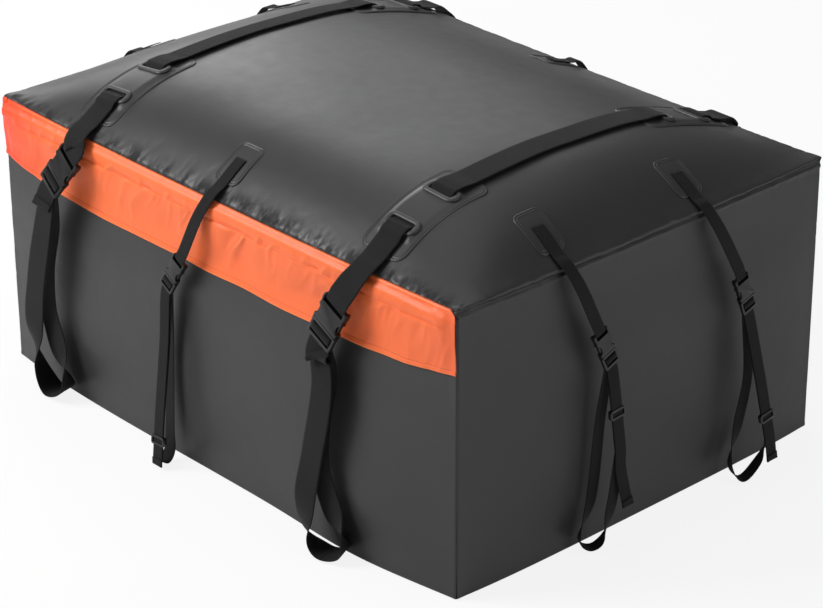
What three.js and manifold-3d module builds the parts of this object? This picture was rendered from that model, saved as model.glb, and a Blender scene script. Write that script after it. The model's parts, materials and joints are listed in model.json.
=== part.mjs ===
// Soft roof cargo bag, packed full, with its lashing straps and buckles.
// Millimetres. X runs along the long side, -Y is the side with the zip and
// the orange storm flap, +Z is up. The origin is the middle of the base.

import * as THREE from 'three';
import { mergeVertices } from 'three/addons/utils/BufferGeometryUtils.js';
import Module from 'manifold-3d';

const wasm = await Module();
wasm.setup();

// Bag body
const BAG_LENGTH = 1200;
const BAG_WIDTH = 870;
const SEAM_HEIGHT = 530;
const PANEL = 2.5;
const LONG_BULGE = 22;
const END_BULGE = 10;
const ZIP_BAND = 60;
const BULGE_DEPTH = 170;

// The lid rises from its seams to a full crown.
const CROWN = 95;
const FRONT_SHOULDER = 92;
const BACK_SHOULDER = 190;
const RIGHT_SHOULDER = 82;
const LEFT_SHOULDER = 125;
const SHOULDER_POWER = 1.25;

// Clearances
const SEAT = 0.3;
const ON_CURVE = 0.8;
const WEAVE = 0.4;
const RUNNING = 0.4;

// Storm flap and zip
const FLAP_DROP = 124;
const FLAP_THICK = 1.6;
const FLAP_STAND = 10;
const TAPE_THICK = 0.8;
const TAPE_WIDTH = 15;
const TAPE_STAND = 2.6;
const COIL_WIDTH = 2.6;
const COIL_DEPTH = 2;
const COIL_SPLIT = 2.2;
const ZIP_DEPTH = 26;
const ZIP_END = 22;
const SLIDER_LENGTH = 18;
const SLIDER_WALL = 1.2;
const SLIDER_PARK = 45;
const PULL_LENGTH = 30;
const PULL_WIDTH = 7;
const PULL_THICK = 1.4;
const PULL_PIN = 1.1;

// Patches and moulded slot frames
const PATCH_THICK = 1.4;
const PATCH_CORNER = 18;
const SMALL_PATCH = { width: 76, near: 24, far: 112 };
const SLOT_PATCH = { width: 104, near: 24, far: 232, thick: 3.8 };
const SLOT_FRAME = { width: 76, depth: 33, corner: 13, height: 3.4 };
const SLOT_LENGTH = 15;
const SLOT_CENTRES = [79, 167];

// Webbing and the buckles made for it
const NARROW = {
  webbing: 25,
  thickness: 1.6,
  rail: 4,
  bar: 4,
  slot: 7,
  body: 33,
  depth: 11,
  frame: 6,
  shoulder: 4,
  window: 8,
  ladder: 7,
  notch: 9,
  collar: 6,
};
const WIDE = {
  webbing: 50,
  thickness: 2.2,
  rail: 5,
  bar: 5,
  slot: 8.5,
  body: 37,
  depth: 13,
  frame: 7,
  shoulder: 5,
  window: 10,
  ladder: 8,
  notch: 10.5,
  collar: 7,
};
const BAR_HALF = 2.2;
const SHELL_WALL = 2;
const ARM_THICK = 5;
const KEEPER = { length: 17, wall: 1.8, rail: 4.5, sight: 9 };

// Where each strap crosses the top seam and how it hangs, as the straps of a
// soft bag happen to lie. Every point is [across from there, out from the
// face, height].
// A strap and its twin on the opposite side share one entry.
const STRAPS = [
  {
    label: 'right',
    sides: ['front'],
    size: WIDE,
    across: BAG_LENGTH / 2 - 212,
    top: [-32, 35, 467],
    foot: [-63, 49, 396],
    outer: [[-66, 55, 300], [-82, 60, 167]],
    loop: [[-72, 66, 26], [-30, 60, 7], [8, 46, 24]],
    inner: [[-36, 36, 150], [-52, 34, 300]],
    tail: [[-61, 57, 364]],
  },
  {
    label: 'left',
    sides: ['front'],
    size: WIDE,
    across: 236 - BAG_LENGTH / 2,
    top: [5, 29, 498],
    foot: [-38, 56, 428],
    outer: [[-60, 60, 320], [-70, 70, 190]],
    loop: [[-34, 74, 62], [4, 62, 34], [40, 50, 56]],
    inner: [[-16, 38, 190], [-44, 40, 330]],
    tail: [[-42, 66, 392]],
  },
  {
    label: 'middle',
    sides: ['front', 'back'],
    size: NARROW,
    across: 0,
    top: [-51, 35, 404],
    foot: [-84, 46, 339],
    outer: [[-78, 55, 246], [-86, 66, 127]],
    loop: [[-84, 78, 20], [-84, 64, 7], [-88, 50, 20]],
    inner: [[-96, 40, 60], [-96, 34, 200]],
    tail: [[-78, 84, 22]],
    keeper: [-82, 77, 52],
  },
  {
    label: 'first',
    sides: ['right', 'left'],
    size: NARROW,
    across: 238 - BAG_WIDTH / 2,
    top: [46, 35, 409],
    foot: [69, 45, 345],
    outer: [[73, 54, 170], [65, 56, 80]],
    loop: [[49, 50, 18], [33, 40, 7], [17, 31, 20]],
    inner: [[45, 28, 90], [61, 30, 240]],
    tail: [[81, 61, 150], [93, 68, 78]],
    keeper: [77, 52, 253],
  },
  {
    label: 'second',
    sides: ['right', 'left'],
    size: NARROW,
    across: BAG_WIDTH / 2 - 303,
    top: [61, 35, 394],
    foot: [78, 42, 337],
    outer: [[114, 66, 70]],
    loop: [[102, 62, 30], [64, 57, 7], [55, 40, 26]],
    inner: [[79, 32, 100], [96, 34, 190]],
    tail: [[118, 74, 70], [125, 74, 30]],
    keeper: [111, 68, 118],
  },
];

// Each side of the bag: the way across it, seen from outside, and the way out.
const SIDES = {
  front: { across: [1, 0], out: [0, -1], reach: BAG_WIDTH / 2 },
  right: { across: [0, 1], out: [1, 0], reach: BAG_LENGTH / 2 },
  back: { across: [-1, 0], out: [0, 1], reach: BAG_WIDTH / 2 },
  left: { across: [0, -1], out: [-1, 0], reach: BAG_LENGTH / 2 },
};

const FABRIC = { color: 0x3f3f41, roughness: 0.42, metalness: 0 };
const ORANGE = { color: 0xff6a3a, roughness: 0.5, metalness: 0 };
const WEBBING = { color: 0x2b2b2d, roughness: 0.9, metalness: 0 };
const PLASTIC = { color: 0x1c1c1e, roughness: 0.38, metalness: 0 };
const FRAME_PLASTIC = { color: 0x4a4a4c, roughness: 0.45, metalness: 0 };
const ZIP_TAPE = { color: 0x232325, roughness: 0.9, metalness: 0 };
const ZIP_METAL = { color: 0x2e2e30, roughness: 0.4, metalness: 0.8 };

const bag = new THREE.Group();
bag.name = 'roof_cargo_bag';

function addMesh(name, geometry, finish, matrix) {
  const mesh = new THREE.Mesh(geometry, new THREE.MeshStandardMaterial(finish));
  mesh.name = name;
  if (matrix) {
    mesh.applyMatrix4(matrix);
  }
  bag.add(mesh);
  return mesh;
}

// A point of one side's own frame: across, out from the flat face, height.
function sidePoint(side, across, out, height) {
  const s = SIDES[side];
  const reach = s.reach + out;
  const x = s.across[0] * across + s.out[0] * reach;
  const y = s.across[1] * across + s.out[1] * reach;
  return new THREE.Vector3(x, y, height);
}

function sideAcross(side) {
  return new THREE.Vector3(...SIDES[side].across, 0);
}

function swell(distance, shoulder) {
  return 1 - Math.exp(-Math.pow(Math.max(distance, 0) / shoulder, SHOULDER_POWER));
}

// Height of the lid's outer face over its own rim.
function crownHeight(x, y) {
  const along = swell(BAG_LENGTH / 2 - x, RIGHT_SHOULDER) * swell(BAG_LENGTH / 2 + x, LEFT_SHOULDER);
  const deep = swell(BAG_WIDTH / 2 + y, FRONT_SHOULDER) * swell(BAG_WIDTH / 2 - y, BACK_SHOULDER);
  return CROWN * along * deep;
}

// The lid at one place: x across, y inwards, z off its surface, both tangents
// lying in the surface.
function lidFrame(side, across, inward, offset = 0) {
  const surface = (a, d) => {
    const p = sidePoint(side, a, -d, 0);
    return p.setZ(SEAM_HEIGHT + crownHeight(p.x, p.y));
  };
  const x = surface(across + 1, inward).sub(surface(across - 1, inward)).normalize();
  const y = surface(across, inward + 1).sub(surface(across, inward - 1));
  const z = new THREE.Vector3().crossVectors(x, y).normalize();
  y.crossVectors(z, x);
  const origin = surface(across, inward).addScaledVector(z, offset);
  return new THREE.Matrix4().makeBasis(x, y, z).setPosition(origin);
}

function lidPoint(side, across, inward, offset) {
  return new THREE.Vector3().setFromMatrixPosition(lidFrame(side, across, inward, offset));
}

// Turns a closed geometry's faces outwards.
function facesOut(geometry) {
  const p = geometry.attributes.position;
  const index = geometry.index.array;
  const a = new THREE.Vector3();
  const b = new THREE.Vector3();
  const c = new THREE.Vector3();
  let volume = 0;
  for (let i = 0; i < index.length; i += 3) {
    a.fromBufferAttribute(p, index[i]);
    b.fromBufferAttribute(p, index[i + 1]);
    c.fromBufferAttribute(p, index[i + 2]);
    volume += a.dot(b.cross(c));
  }
  if (volume < 0) {
    for (let i = 0; i < index.length; i += 3) {
      const first = index[i];
      index[i] = index[i + 1];
      index[i + 1] = first;
    }
  }
  geometry.computeVertexNormals();
  return geometry;
}

// A closed sheet between two surfaces, each given as a function of u and v.
function sheet(columns, rows, outer, inner) {
  const positions = [];
  const index = [];
  const layer = (columns + 1) * (rows + 1);
  const at = (side, i, j) => side * layer + j * (columns + 1) + i;
  const quad = (a, b, c, d) => index.push(a, b, c, a, c, d);
  for (const face of [outer, inner]) {
    for (let j = 0; j <= rows; j++) {
      for (let i = 0; i <= columns; i++) {
        const p = face(i / columns, j / rows);
        positions.push(p.x, p.y, p.z);
      }
    }
  }
  for (let j = 0; j < rows; j++) {
    for (let i = 0; i < columns; i++) {
      quad(at(0, i, j), at(0, i + 1, j), at(0, i + 1, j + 1), at(0, i, j + 1));
      quad(at(1, i, j), at(1, i, j + 1), at(1, i + 1, j + 1), at(1, i + 1, j));
    }
    quad(at(0, 0, j), at(0, 0, j + 1), at(1, 0, j + 1), at(1, 0, j));
    quad(at(0, columns, j), at(1, columns, j), at(1, columns, j + 1), at(0, columns, j + 1));
  }
  for (let i = 0; i < columns; i++) {
    quad(at(0, i, 0), at(1, i, 0), at(1, i + 1, 0), at(0, i + 1, 0));
    quad(at(0, i, rows), at(0, i + 1, rows), at(1, i + 1, rows), at(1, i, rows));
  }
  const geometry = new THREE.BufferGeometry();
  geometry.setAttribute('position', new THREE.Float32BufferAttribute(positions, 3));
  geometry.setIndex(index);
  return facesOut(geometry);
}

// Solids for joins and cuts, and back to geometry.
function solid(geometry, matrix) {
  const copy = geometry.clone();
  copy.deleteAttribute('normal');
  copy.deleteAttribute('uv');
  if (matrix) {
    copy.applyMatrix4(matrix);
  }
  const merged = mergeVertices(copy, 1e-4);
  return new wasm.Manifold(new wasm.Mesh({
    numProp: 3,
    vertProperties: new Float32Array(merged.attributes.position.array),
    triVerts: new Uint32Array(merged.index.array),
  }));
}

function geometryOf(manifold) {
  const mesh = manifold.getMesh();
  const geometry = new THREE.BufferGeometry();
  geometry.setAttribute('position', new THREE.BufferAttribute(new Float32Array(mesh.vertProperties), 3));
  geometry.setIndex([...mesh.triVerts]);
  geometry.computeVertexNormals();
  return geometry;
}

function move(x, y, z) {
  return new THREE.Matrix4().makeTranslation(x, y, z);
}

function block(x0, x1, y0, y1, z0, z1) {
  const box = new THREE.BoxGeometry(x1 - x0, y1 - y0, z1 - z0);
  return solid(box, move((x0 + x1) / 2, (y0 + y1) / 2, (z0 + z1) / 2));
}

function roundedOutline(width, depth, corner, path = new THREE.Shape()) {
  const w = width / 2;
  const d = depth / 2;
  path.moveTo(-w + corner, -d);
  path.lineTo(w - corner, -d);
  path.absarc(w - corner, -d + corner, corner, -Math.PI / 2, 0);
  path.lineTo(w, d - corner);
  path.absarc(w - corner, d - corner, corner, 0, Math.PI / 2);
  path.lineTo(-w + corner, d);
  path.absarc(-w + corner, d - corner, corner, Math.PI / 2, Math.PI);
  path.lineTo(-w, -d + corner);
  path.absarc(-w + corner, -d + corner, corner, Math.PI, Math.PI * 1.5);
  return path;
}

// An outline's own points, with none nearer than a hundredth to the last.
function distinct(points) {
  const near = (a, b) => a.distanceTo(b) < 0.01;
  const kept = points.filter((p, i) => i === 0 || !near(p, points[i - 1]));
  return near(kept[0], kept[kept.length - 1]) ? kept.slice(1) : kept;
}

// A plate of the shape's own outline, centred on z = 0, with softened edges.
function plate(shape, thickness, edge, curveSegments) {
  const outline = new THREE.Shape(distinct(shape.getPoints(curveSegments)));
  const geometry = new THREE.ExtrudeGeometry(outline, {
    depth: thickness - 2 * edge,
    bevelEnabled: edge > 0,
    bevelThickness: edge,
    bevelSize: edge,
    bevelOffset: -edge,
    bevelSegments: 1,
  });
  geometry.translate(0, 0, -thickness / 2 + edge);
  return geometry;
}

// Bag body. The walls stand on the floor panel and swell outwards below the
// zip band, and the floor panel follows them.
function wallSwell(share, height) {
  const below = THREE.MathUtils.clamp((SEAM_HEIGHT - ZIP_BAND - height) / BULGE_DEPTH, 0, 1);
  return (1 - Math.pow(share, 4)) * below * below * (3 - 2 * below);
}

function wallPanel(side, halfWidth, bulge, columns) {
  const low = PANEL + SEAT;
  const high = SEAM_HEIGHT - PANEL - SEAT;
  const band = SEAM_HEIGHT - ZIP_BAND;
  const rows = 6;
  const face = (depth) => (u, v) => {
    const share = 2 * u - 1;
    const row = Math.round(v * rows);
    const height = row === rows ? high : low + ((band - low) * row) / (rows - 1);
    const out = bulge * wallSwell(share, height) - depth;
    return sidePoint(side, share * halfWidth, out, height);
  };
  return sheet(columns, rows, face(0), face(PANEL));
}

function floorOutline() {
  const points = [];
  const steps = 9;
  for (const [side, bulge] of [['front', LONG_BULGE], ['right', END_BULGE], ['back', LONG_BULGE], ['left', END_BULGE]]) {
    const half = SIDES[side].reach === BAG_WIDTH / 2 ? BAG_LENGTH / 2 : BAG_WIDTH / 2;
    for (let i = 0; i < steps; i++) {
      const share = (2 * i) / steps - 1;
      const p = sidePoint(side, share * half, bulge * wallSwell(share, 0), 0);
      points.push(new THREE.Vector2(p.x, p.y));
    }
  }
  return new THREE.Shape(points);
}

const floorPanel = new THREE.ExtrudeGeometry(floorOutline(), { depth: PANEL, bevelEnabled: false });
addMesh('floor_panel', facesOut(mergeVertices(stripped(floorPanel), 1e-4)), FABRIC);

function stripped(geometry) {
  geometry.deleteAttribute('normal');
  geometry.deleteAttribute('uv');
  return geometry;
}

const END_HALF = BAG_WIDTH / 2 - PANEL - SEAT;
addMesh('front_wall', wallPanel('front', BAG_LENGTH / 2, LONG_BULGE, 9), FABRIC);
addMesh('back_wall', wallPanel('back', BAG_LENGTH / 2, LONG_BULGE, 9), FABRIC);
addMesh('right_end_wall', wallPanel('right', END_HALF, END_BULGE, 6), FABRIC);
addMesh('left_end_wall', wallPanel('left', END_HALF, END_BULGE, 6), FABRIC);

// Steps run closer together towards a panel's edges.
function towardsEdges(u) {
  const s = 2 * u - 1;
  return (3 * s - s * s * s) / 2;
}

function lidFace(depth) {
  return (u, v) => {
    const x = (towardsEdges(u) * BAG_LENGTH) / 2;
    const y = (towardsEdges(v) * BAG_WIDTH) / 2;
    return new THREE.Vector3(x, y, SEAM_HEIGHT + crownHeight(x, y) - depth);
  };
}

addMesh('lid_panel', sheet(18, 14, lidFace(0), lidFace(PANEL)), FABRIC);

// Storm flap: sewn along the top seam, it swells over the zip and hangs down.
function flapFace(depth) {
  return (u, v) => {
    const across = ((2 * u - 1) * BAG_LENGTH) / 2;
    const drop = v * FLAP_DROP;
    const stand = FLAP_STAND * Math.pow(Math.sin((Math.PI / 2) * Math.min(drop / (ZIP_DEPTH / 2), 1)), 2);
    return sidePoint('front', across, SEAT + stand + depth, SEAM_HEIGHT - SEAT - drop);
  };
}

addMesh('storm_flap', sheet(1, 8, flapFace(FLAP_THICK), flapFace(0)), ORANGE);

// Zip: two tapes with a coil half on each, and a slider that straddles them.
const ZIP_HEIGHT = SEAM_HEIGHT - ZIP_DEPTH;
const ZIP_LENGTH = BAG_LENGTH - 2 * ZIP_END;

// Profiles run in the plane of height and distance out from the front face.
function alongFront(points, length, centre) {
  const outline = new THREE.Shape(points.map(([out, height]) => new THREE.Vector2(out, height)));
  const geometry = new THREE.ExtrudeGeometry(outline, { depth: length, bevelEnabled: false });
  const basis = new THREE.Matrix4().makeBasis(
    new THREE.Vector3(0, -1, 0),
    new THREE.Vector3(0, 0, 1),
    new THREE.Vector3(-1, 0, 0),
  );
  basis.setPosition(centre + length / 2, -BAG_WIDTH / 2, ZIP_HEIGHT);
  geometry.applyMatrix4(basis);
  return geometry;
}

function tapeProfile(sign) {
  const near = (sign * COIL_SPLIT) / 2;
  const coil = near + sign * COIL_WIDTH;
  const far = near + sign * TAPE_WIDTH;
  const back = TAPE_STAND;
  const front = TAPE_STAND + TAPE_THICK;
  return [
    [back, near],
    [TAPE_STAND + COIL_DEPTH, near],
    [TAPE_STAND + COIL_DEPTH, coil],
    [front, coil + sign * 0.6],
    [front, far - sign * 4],
    [SEAT + TAPE_THICK, far - sign * 1.5],
    [SEAT + TAPE_THICK, far],
    [SEAT, far],
    [SEAT, far - sign * 2],
    [back, far - sign * 4.6],
  ];
}

for (const [name, sign] of [['zipper_tape_upper', 1], ['zipper_tape_lower', -1]]) {
  const tape = alongFront(tapeProfile(sign), ZIP_LENGTH, 0);
  addMesh(name, facesOut(mergeVertices(stripped(tape), 1e-4)), ZIP_TAPE);
}

// The slider's two plates are joined by a post that runs between the coils.
const SLIDER_BACK = TAPE_STAND - RUNNING;
const SLIDER_FRONT = TAPE_STAND + COIL_DEPTH + RUNNING;
const SLIDER_X = BAG_LENGTH / 2 - ZIP_END - SLIDER_PARK;
const SLIDER_HALF = COIL_SPLIT / 2 + COIL_WIDTH + RUNNING + SLIDER_WALL;
const POST_HALF = COIL_SPLIT / 2 - RUNNING;
const LIP = TAPE_STAND + TAPE_THICK + RUNNING;
const sliderProfile = [
  [SLIDER_BACK - SLIDER_WALL, -SLIDER_HALF],
  [SLIDER_BACK, -SLIDER_HALF],
  [SLIDER_BACK, -POST_HALF],
  [SLIDER_FRONT, -POST_HALF],
  [SLIDER_FRONT, -SLIDER_HALF + SLIDER_WALL],
  [LIP + 0.8, -SLIDER_HALF + SLIDER_WALL],
  [LIP + 0.8, -SLIDER_HALF],
  [SLIDER_FRONT + SLIDER_WALL, -SLIDER_HALF],
  [SLIDER_FRONT + SLIDER_WALL, SLIDER_HALF],
  [LIP + 0.8, SLIDER_HALF],
  [LIP + 0.8, SLIDER_HALF - SLIDER_WALL],
  [SLIDER_FRONT, SLIDER_HALF - SLIDER_WALL],
  [SLIDER_FRONT, POST_HALF],
  [SLIDER_BACK, POST_HALF],
  [SLIDER_BACK, SLIDER_HALF],
  [SLIDER_BACK - SLIDER_WALL, SLIDER_HALF],
];

// Places a shape drawn on the front face: x across, y up, z out.
function onFront(across, out, height) {
  const matrix = new THREE.Matrix4().makeBasis(
    new THREE.Vector3(1, 0, 0),
    new THREE.Vector3(0, 0, 1),
    new THREE.Vector3(0, -1, 0),
  );
  return matrix.setPosition(sidePoint('front', across, out, height));
}

// Two ears on the slider carry the pull's pin.
const PIN_OUT = SLIDER_FRONT + SLIDER_WALL + PULL_PIN + RUNNING;
const EAR = 1.2;
const EAR_GAP = 3.4;
let slider = solid(alongFront(sliderProfile, SLIDER_LENGTH, SLIDER_X));
for (const sign of [-1, 1]) {
  const middle = sign * (EAR_GAP / 2 + EAR / 2);
  const ear = block(-2.2, 2.2, middle - EAR / 2, middle + EAR / 2, SLIDER_FRONT + 0.5, PIN_OUT + PULL_PIN + 0.6);
  slider = slider.add(ear.transform(onFront(SLIDER_X, 0, ZIP_HEIGHT).elements));
}
const pinHole = new THREE.CylinderGeometry(PULL_PIN + 0.1, PULL_PIN + 0.1, 20, 12);
slider = slider.subtract(solid(pinHole, move(0, 0, PIN_OUT)).transform(onFront(SLIDER_X, 0, ZIP_HEIGHT).elements));
addMesh('zipper_slider', geometryOf(slider), ZIP_METAL);

// The pull turns on its pin and lies back along the zip.
const pullPin = new THREE.CylinderGeometry(PULL_PIN, PULL_PIN, EAR_GAP + 2 * EAR - 0.4, 12);
const pullNeck = block(-PULL_LENGTH / 3, 0, -(EAR_GAP / 2 - RUNNING), EAR_GAP / 2 - RUNNING, -PULL_THICK / 2, PULL_THICK / 2);
const pullTab = solid(plate(roundedOutline((PULL_LENGTH * 2) / 3 + 4, PULL_WIDTH, 3), PULL_THICK, 0, 1), move(-PULL_LENGTH * 0.62, 0, 0));
const pull = solid(pullPin).add(pullNeck).add(pullTab);
addMesh('zipper_pull', geometryOf(pull), ZIP_METAL, onFront(SLIDER_X, PIN_OUT, ZIP_HEIGHT));

// A flat patch that follows the lid, cut to a rounded outline.
function lidPatch(side, across, size, columns, low, high) {
  const half = size.width / 2;
  const face = (offset) => (u, v) =>
    lidPoint(side, across + (2 * u - 1) * half, size.near + (size.far - size.near) * v, offset);
  const rows = Math.round((size.far - size.near) / 29);
  const body = solid(sheet(columns, rows, face(high), face(low)));
  const trim = new THREE.ExtrudeGeometry(roundedOutline(size.width - 1, size.far - size.near - 4, PATCH_CORNER), {
    depth: 600,
    bevelEnabled: false,
    curveSegments: 2,
  });
  const centre = sidePoint(side, across, -(size.near + size.far) / 2, SEAM_HEIGHT - 200);
  const turn = new THREE.Matrix4().makeRotationZ(Math.atan2(SIDES[side].across[1], SIDES[side].across[0]));
  return body.intersect(solid(trim, turn.setPosition(centre)));
}

const SLOT_TUNNEL = ON_CURVE + WIDE.thickness + 2 * WEAVE;
const SLOT_TOP = SLOT_PATCH.thick + ON_CURVE;

function slotPatch(side, across) {
  const frameShape = roundedOutline(SLOT_FRAME.width, SLOT_FRAME.depth, SLOT_FRAME.corner);
  const frameBody = plate(frameShape, SLOT_FRAME.height + 1, 0, 2);
  let patch = lidPatch(side, across, SLOT_PATCH, 2, ON_CURVE, SLOT_TOP);
  for (const centre of SLOT_CENTRES) {
    const matrix = lidFrame(side, across, centre, SLOT_TOP + SLOT_FRAME.height / 2 - 0.5);
    patch = patch.add(solid(frameBody, matrix));
  }
  const tunnelHalf = WIDE.webbing / 2 + 1.8;
  for (const centre of SLOT_CENTRES) {
    const slot = block(-tunnelHalf, tunnelHalf, -SLOT_LENGTH / 2, SLOT_LENGTH / 2, -12, 12);
    patch = patch.subtract(slot.transform(lidFrame(side, across, centre, 2).elements));
  }
  const [first, last] = SLOT_CENTRES;
  const face = (offset) => (u, v) =>
    lidPoint(side, across + (2 * u - 1) * tunnelHalf, first + (last - first) * v, offset);
  return patch.subtract(solid(sheet(2, 4, face(SLOT_TUNNEL), face(-6))));
}

// A place on a strap: a point of its middle line and the way across it there.
function station(point, wide) {
  return { point, wide };
}

// A strip of webbing swept through its stations.
function ribbon(stations, size) {
  const frames = stations.map(({ point, wide }, i) => {
    const before = stations[Math.max(i - 1, 0)].point;
    const after = stations[Math.min(i + 1, stations.length - 1)].point;
    const along = new THREE.Vector3().subVectors(after, before).normalize();
    const square = wide.clone().addScaledVector(along, -wide.dot(along)).normalize();
    return { point, square, thick: new THREE.Vector3().crossVectors(along, square) };
  });
  const face = (sign) => (u, v) => {
    const { point, square, thick } = frames[Math.round(u * (stations.length - 1))];
    return point.clone()
      .addScaledVector(square, (v - 0.5) * size.webbing)
      .addScaledVector(thick, (sign * size.thickness) / 2);
  };
  return sheet(stations.length - 1, 1, face(1), face(-1));
}

// Stations along a smooth curve through the given ones.
function curveThrough(stations, count) {
  const line = new THREE.CatmullRomCurve3(stations.map((s) => s.point), false, 'centripetal');
  const turn = new THREE.CatmullRomCurve3(stations.map((s) => s.wide), false, 'centripetal');
  const through = [];
  for (let i = 0; i <= count; i++) {
    through.push(station(line.getPoint(i / count), turn.getPoint(i / count)));
  }
  return through;
}

// Buckle frame: x across, y up the strap, z out, with y = 0 at the mouth.
function halfWidth(size) {
  return size.webbing / 2 + 1 + size.rail;
}

function femaleLength(size) {
  return size.body + size.slot + size.bar;
}

function maleLength(size) {
  return size.shoulder + size.window + size.bar + size.ladder + size.bar;
}

function femaleHalf(size) {
  const half = halfWidth(size);
  const top = femaleLength(size);
  const corner = size.rail * 0.8;
  const notchX = half + size.notch * 0.3;
  const notchY = size.collar + size.notch * 0.954;
  const open = Math.acos(0.3);
  const waist = half - 1.5;
  const shape = new THREE.Shape();
  shape.moveTo(-half + 1.6, 0);
  shape.lineTo(half - 1.6, 0);
  shape.lineTo(half, 2);
  shape.absarc(notchX, notchY, size.notch, Math.PI + open, Math.PI - open, true);
  shape.lineTo(waist, size.body - 2);
  shape.lineTo(half, size.body + 3);
  shape.lineTo(half, top - corner);
  shape.quadraticCurveTo(half, top, half - corner, top);
  shape.lineTo(-half + corner, top);
  shape.quadraticCurveTo(-half, top, -half, top - corner);
  shape.lineTo(-half, size.body + 3);
  shape.lineTo(-waist, size.body - 2);
  shape.absarc(-notchX, notchY, size.notch, open, -open, true);
  shape.lineTo(-half, 2);
  const gap = size.webbing / 2 + 1;
  const cavity = half - SHELL_WALL;
  const cavityHigh = ARM_THICK / 2 + RUNNING;
  const far = 40;
  return solid(plate(shape, size.depth, 1.2, 2))
    .subtract(block(-gap, gap, size.body, size.body + size.slot, -far, far))
    .subtract(block(-gap, gap, size.body + 1, far * 2, BAR_HALF, far))
    .subtract(block(-gap, gap, size.body + 1, far * 2, -far, -BAR_HALF))
    .subtract(block(-cavity, cavity, -far, size.body - 4, -cavityHigh, cavityHigh));
}

function maleHalf(size) {
  const half = halfWidth(size);
  const gap = size.webbing / 2 + 1;
  const low = -maleLength(size);
  const outline = roundedOutline(2 * half, -low - SEAT, size.rail * 0.8);
  const frame = solid(plate(outline, size.frame, 0, 1), move(0, (low - SEAT) / 2, 0));
  const ladderLow = low + size.bar;
  const ladderHigh = ladderLow + size.ladder;
  const windowLow = ladderHigh + size.bar;
  const windowHigh = windowLow + size.window;
  const reach = half - SHELL_WALL - RUNNING;
  const arm = (sign) => {
    const shape = new THREE.Shape();
    const tabLow = size.collar + 1.5;
    const tabHigh = size.collar + size.notch * 1.7;
    shape.moveTo(sign * (reach - size.rail * 1.5), -size.shoulder / 2);
    shape.lineTo(sign * (reach - 0.6), -size.shoulder / 2);
    shape.lineTo(sign * (reach - 0.6), tabLow);
    shape.lineTo(sign * reach, tabLow + 1);
    shape.lineTo(sign * reach, tabHigh - 3);
    shape.quadraticCurveTo(sign * reach, tabHigh, sign * (reach - 5), tabHigh + 3);
    shape.lineTo(sign * (reach - 7.5), tabHigh + 1);
    shape.lineTo(sign * (reach - 6.5), tabHigh - 5);
    shape.lineTo(sign * (reach - size.rail * 1.2), tabLow);
    return solid(plate(shape, ARM_THICK, 0, 2));
  };
  const guideWidth = size.webbing / 5;
  const guideHigh = size.body - 8;
  const guide = plate(roundedOutline(guideWidth, guideHigh + size.shoulder, guideWidth / 2.2), ARM_THICK, 0, 1);
  return frame
    .subtract(block(-gap, gap, ladderLow, ladderHigh, -20, 20))
    .subtract(block(-gap, gap, windowLow, windowHigh, -20, 20))
    .add(block(-half + 1, half - 1, -size.shoulder, -SEAT, -size.depth / 2 + 0.4, size.depth / 2 - 0.4))
    .add(arm(1))
    .add(arm(-1))
    .add(solid(guide, move(0, guideHigh / 2 - size.shoulder / 2, 0)));
}

// A keeper is a moulded loop round both layers, open in front to show them.
function keeperLoop(size) {
  const inside = { x: size.webbing / 2 + 0.8, z: size.thickness + 1.5 * WEAVE };
  const half = { x: inside.x + KEEPER.rail - 1, z: inside.z + KEEPER.wall };
  const body = plate(roundedOutline(2 * half.x, KEEPER.length, 3.5), 2 * half.z, 0, 1);
  const through = KEEPER.length;
  return solid(body)
    .subtract(block(-inside.x, inside.x, -through, through, -inside.z, inside.z))
    .subtract(block(-inside.x, inside.x, -KEEPER.sight / 2, KEEPER.sight / 2, 0, 20));
}

// A frame whose y axis points from one point up to another.
function strapFrame(side, low, high, origin) {
  const up = new THREE.Vector3().subVectors(high, low).normalize();
  const across = sideAcross(side);
  const x = across.clone().addScaledVector(up, -across.dot(up)).normalize();
  const z = new THREE.Vector3().crossVectors(x, up);
  return new THREE.Matrix4().makeBasis(x, up, z).setPosition(origin);
}

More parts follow.
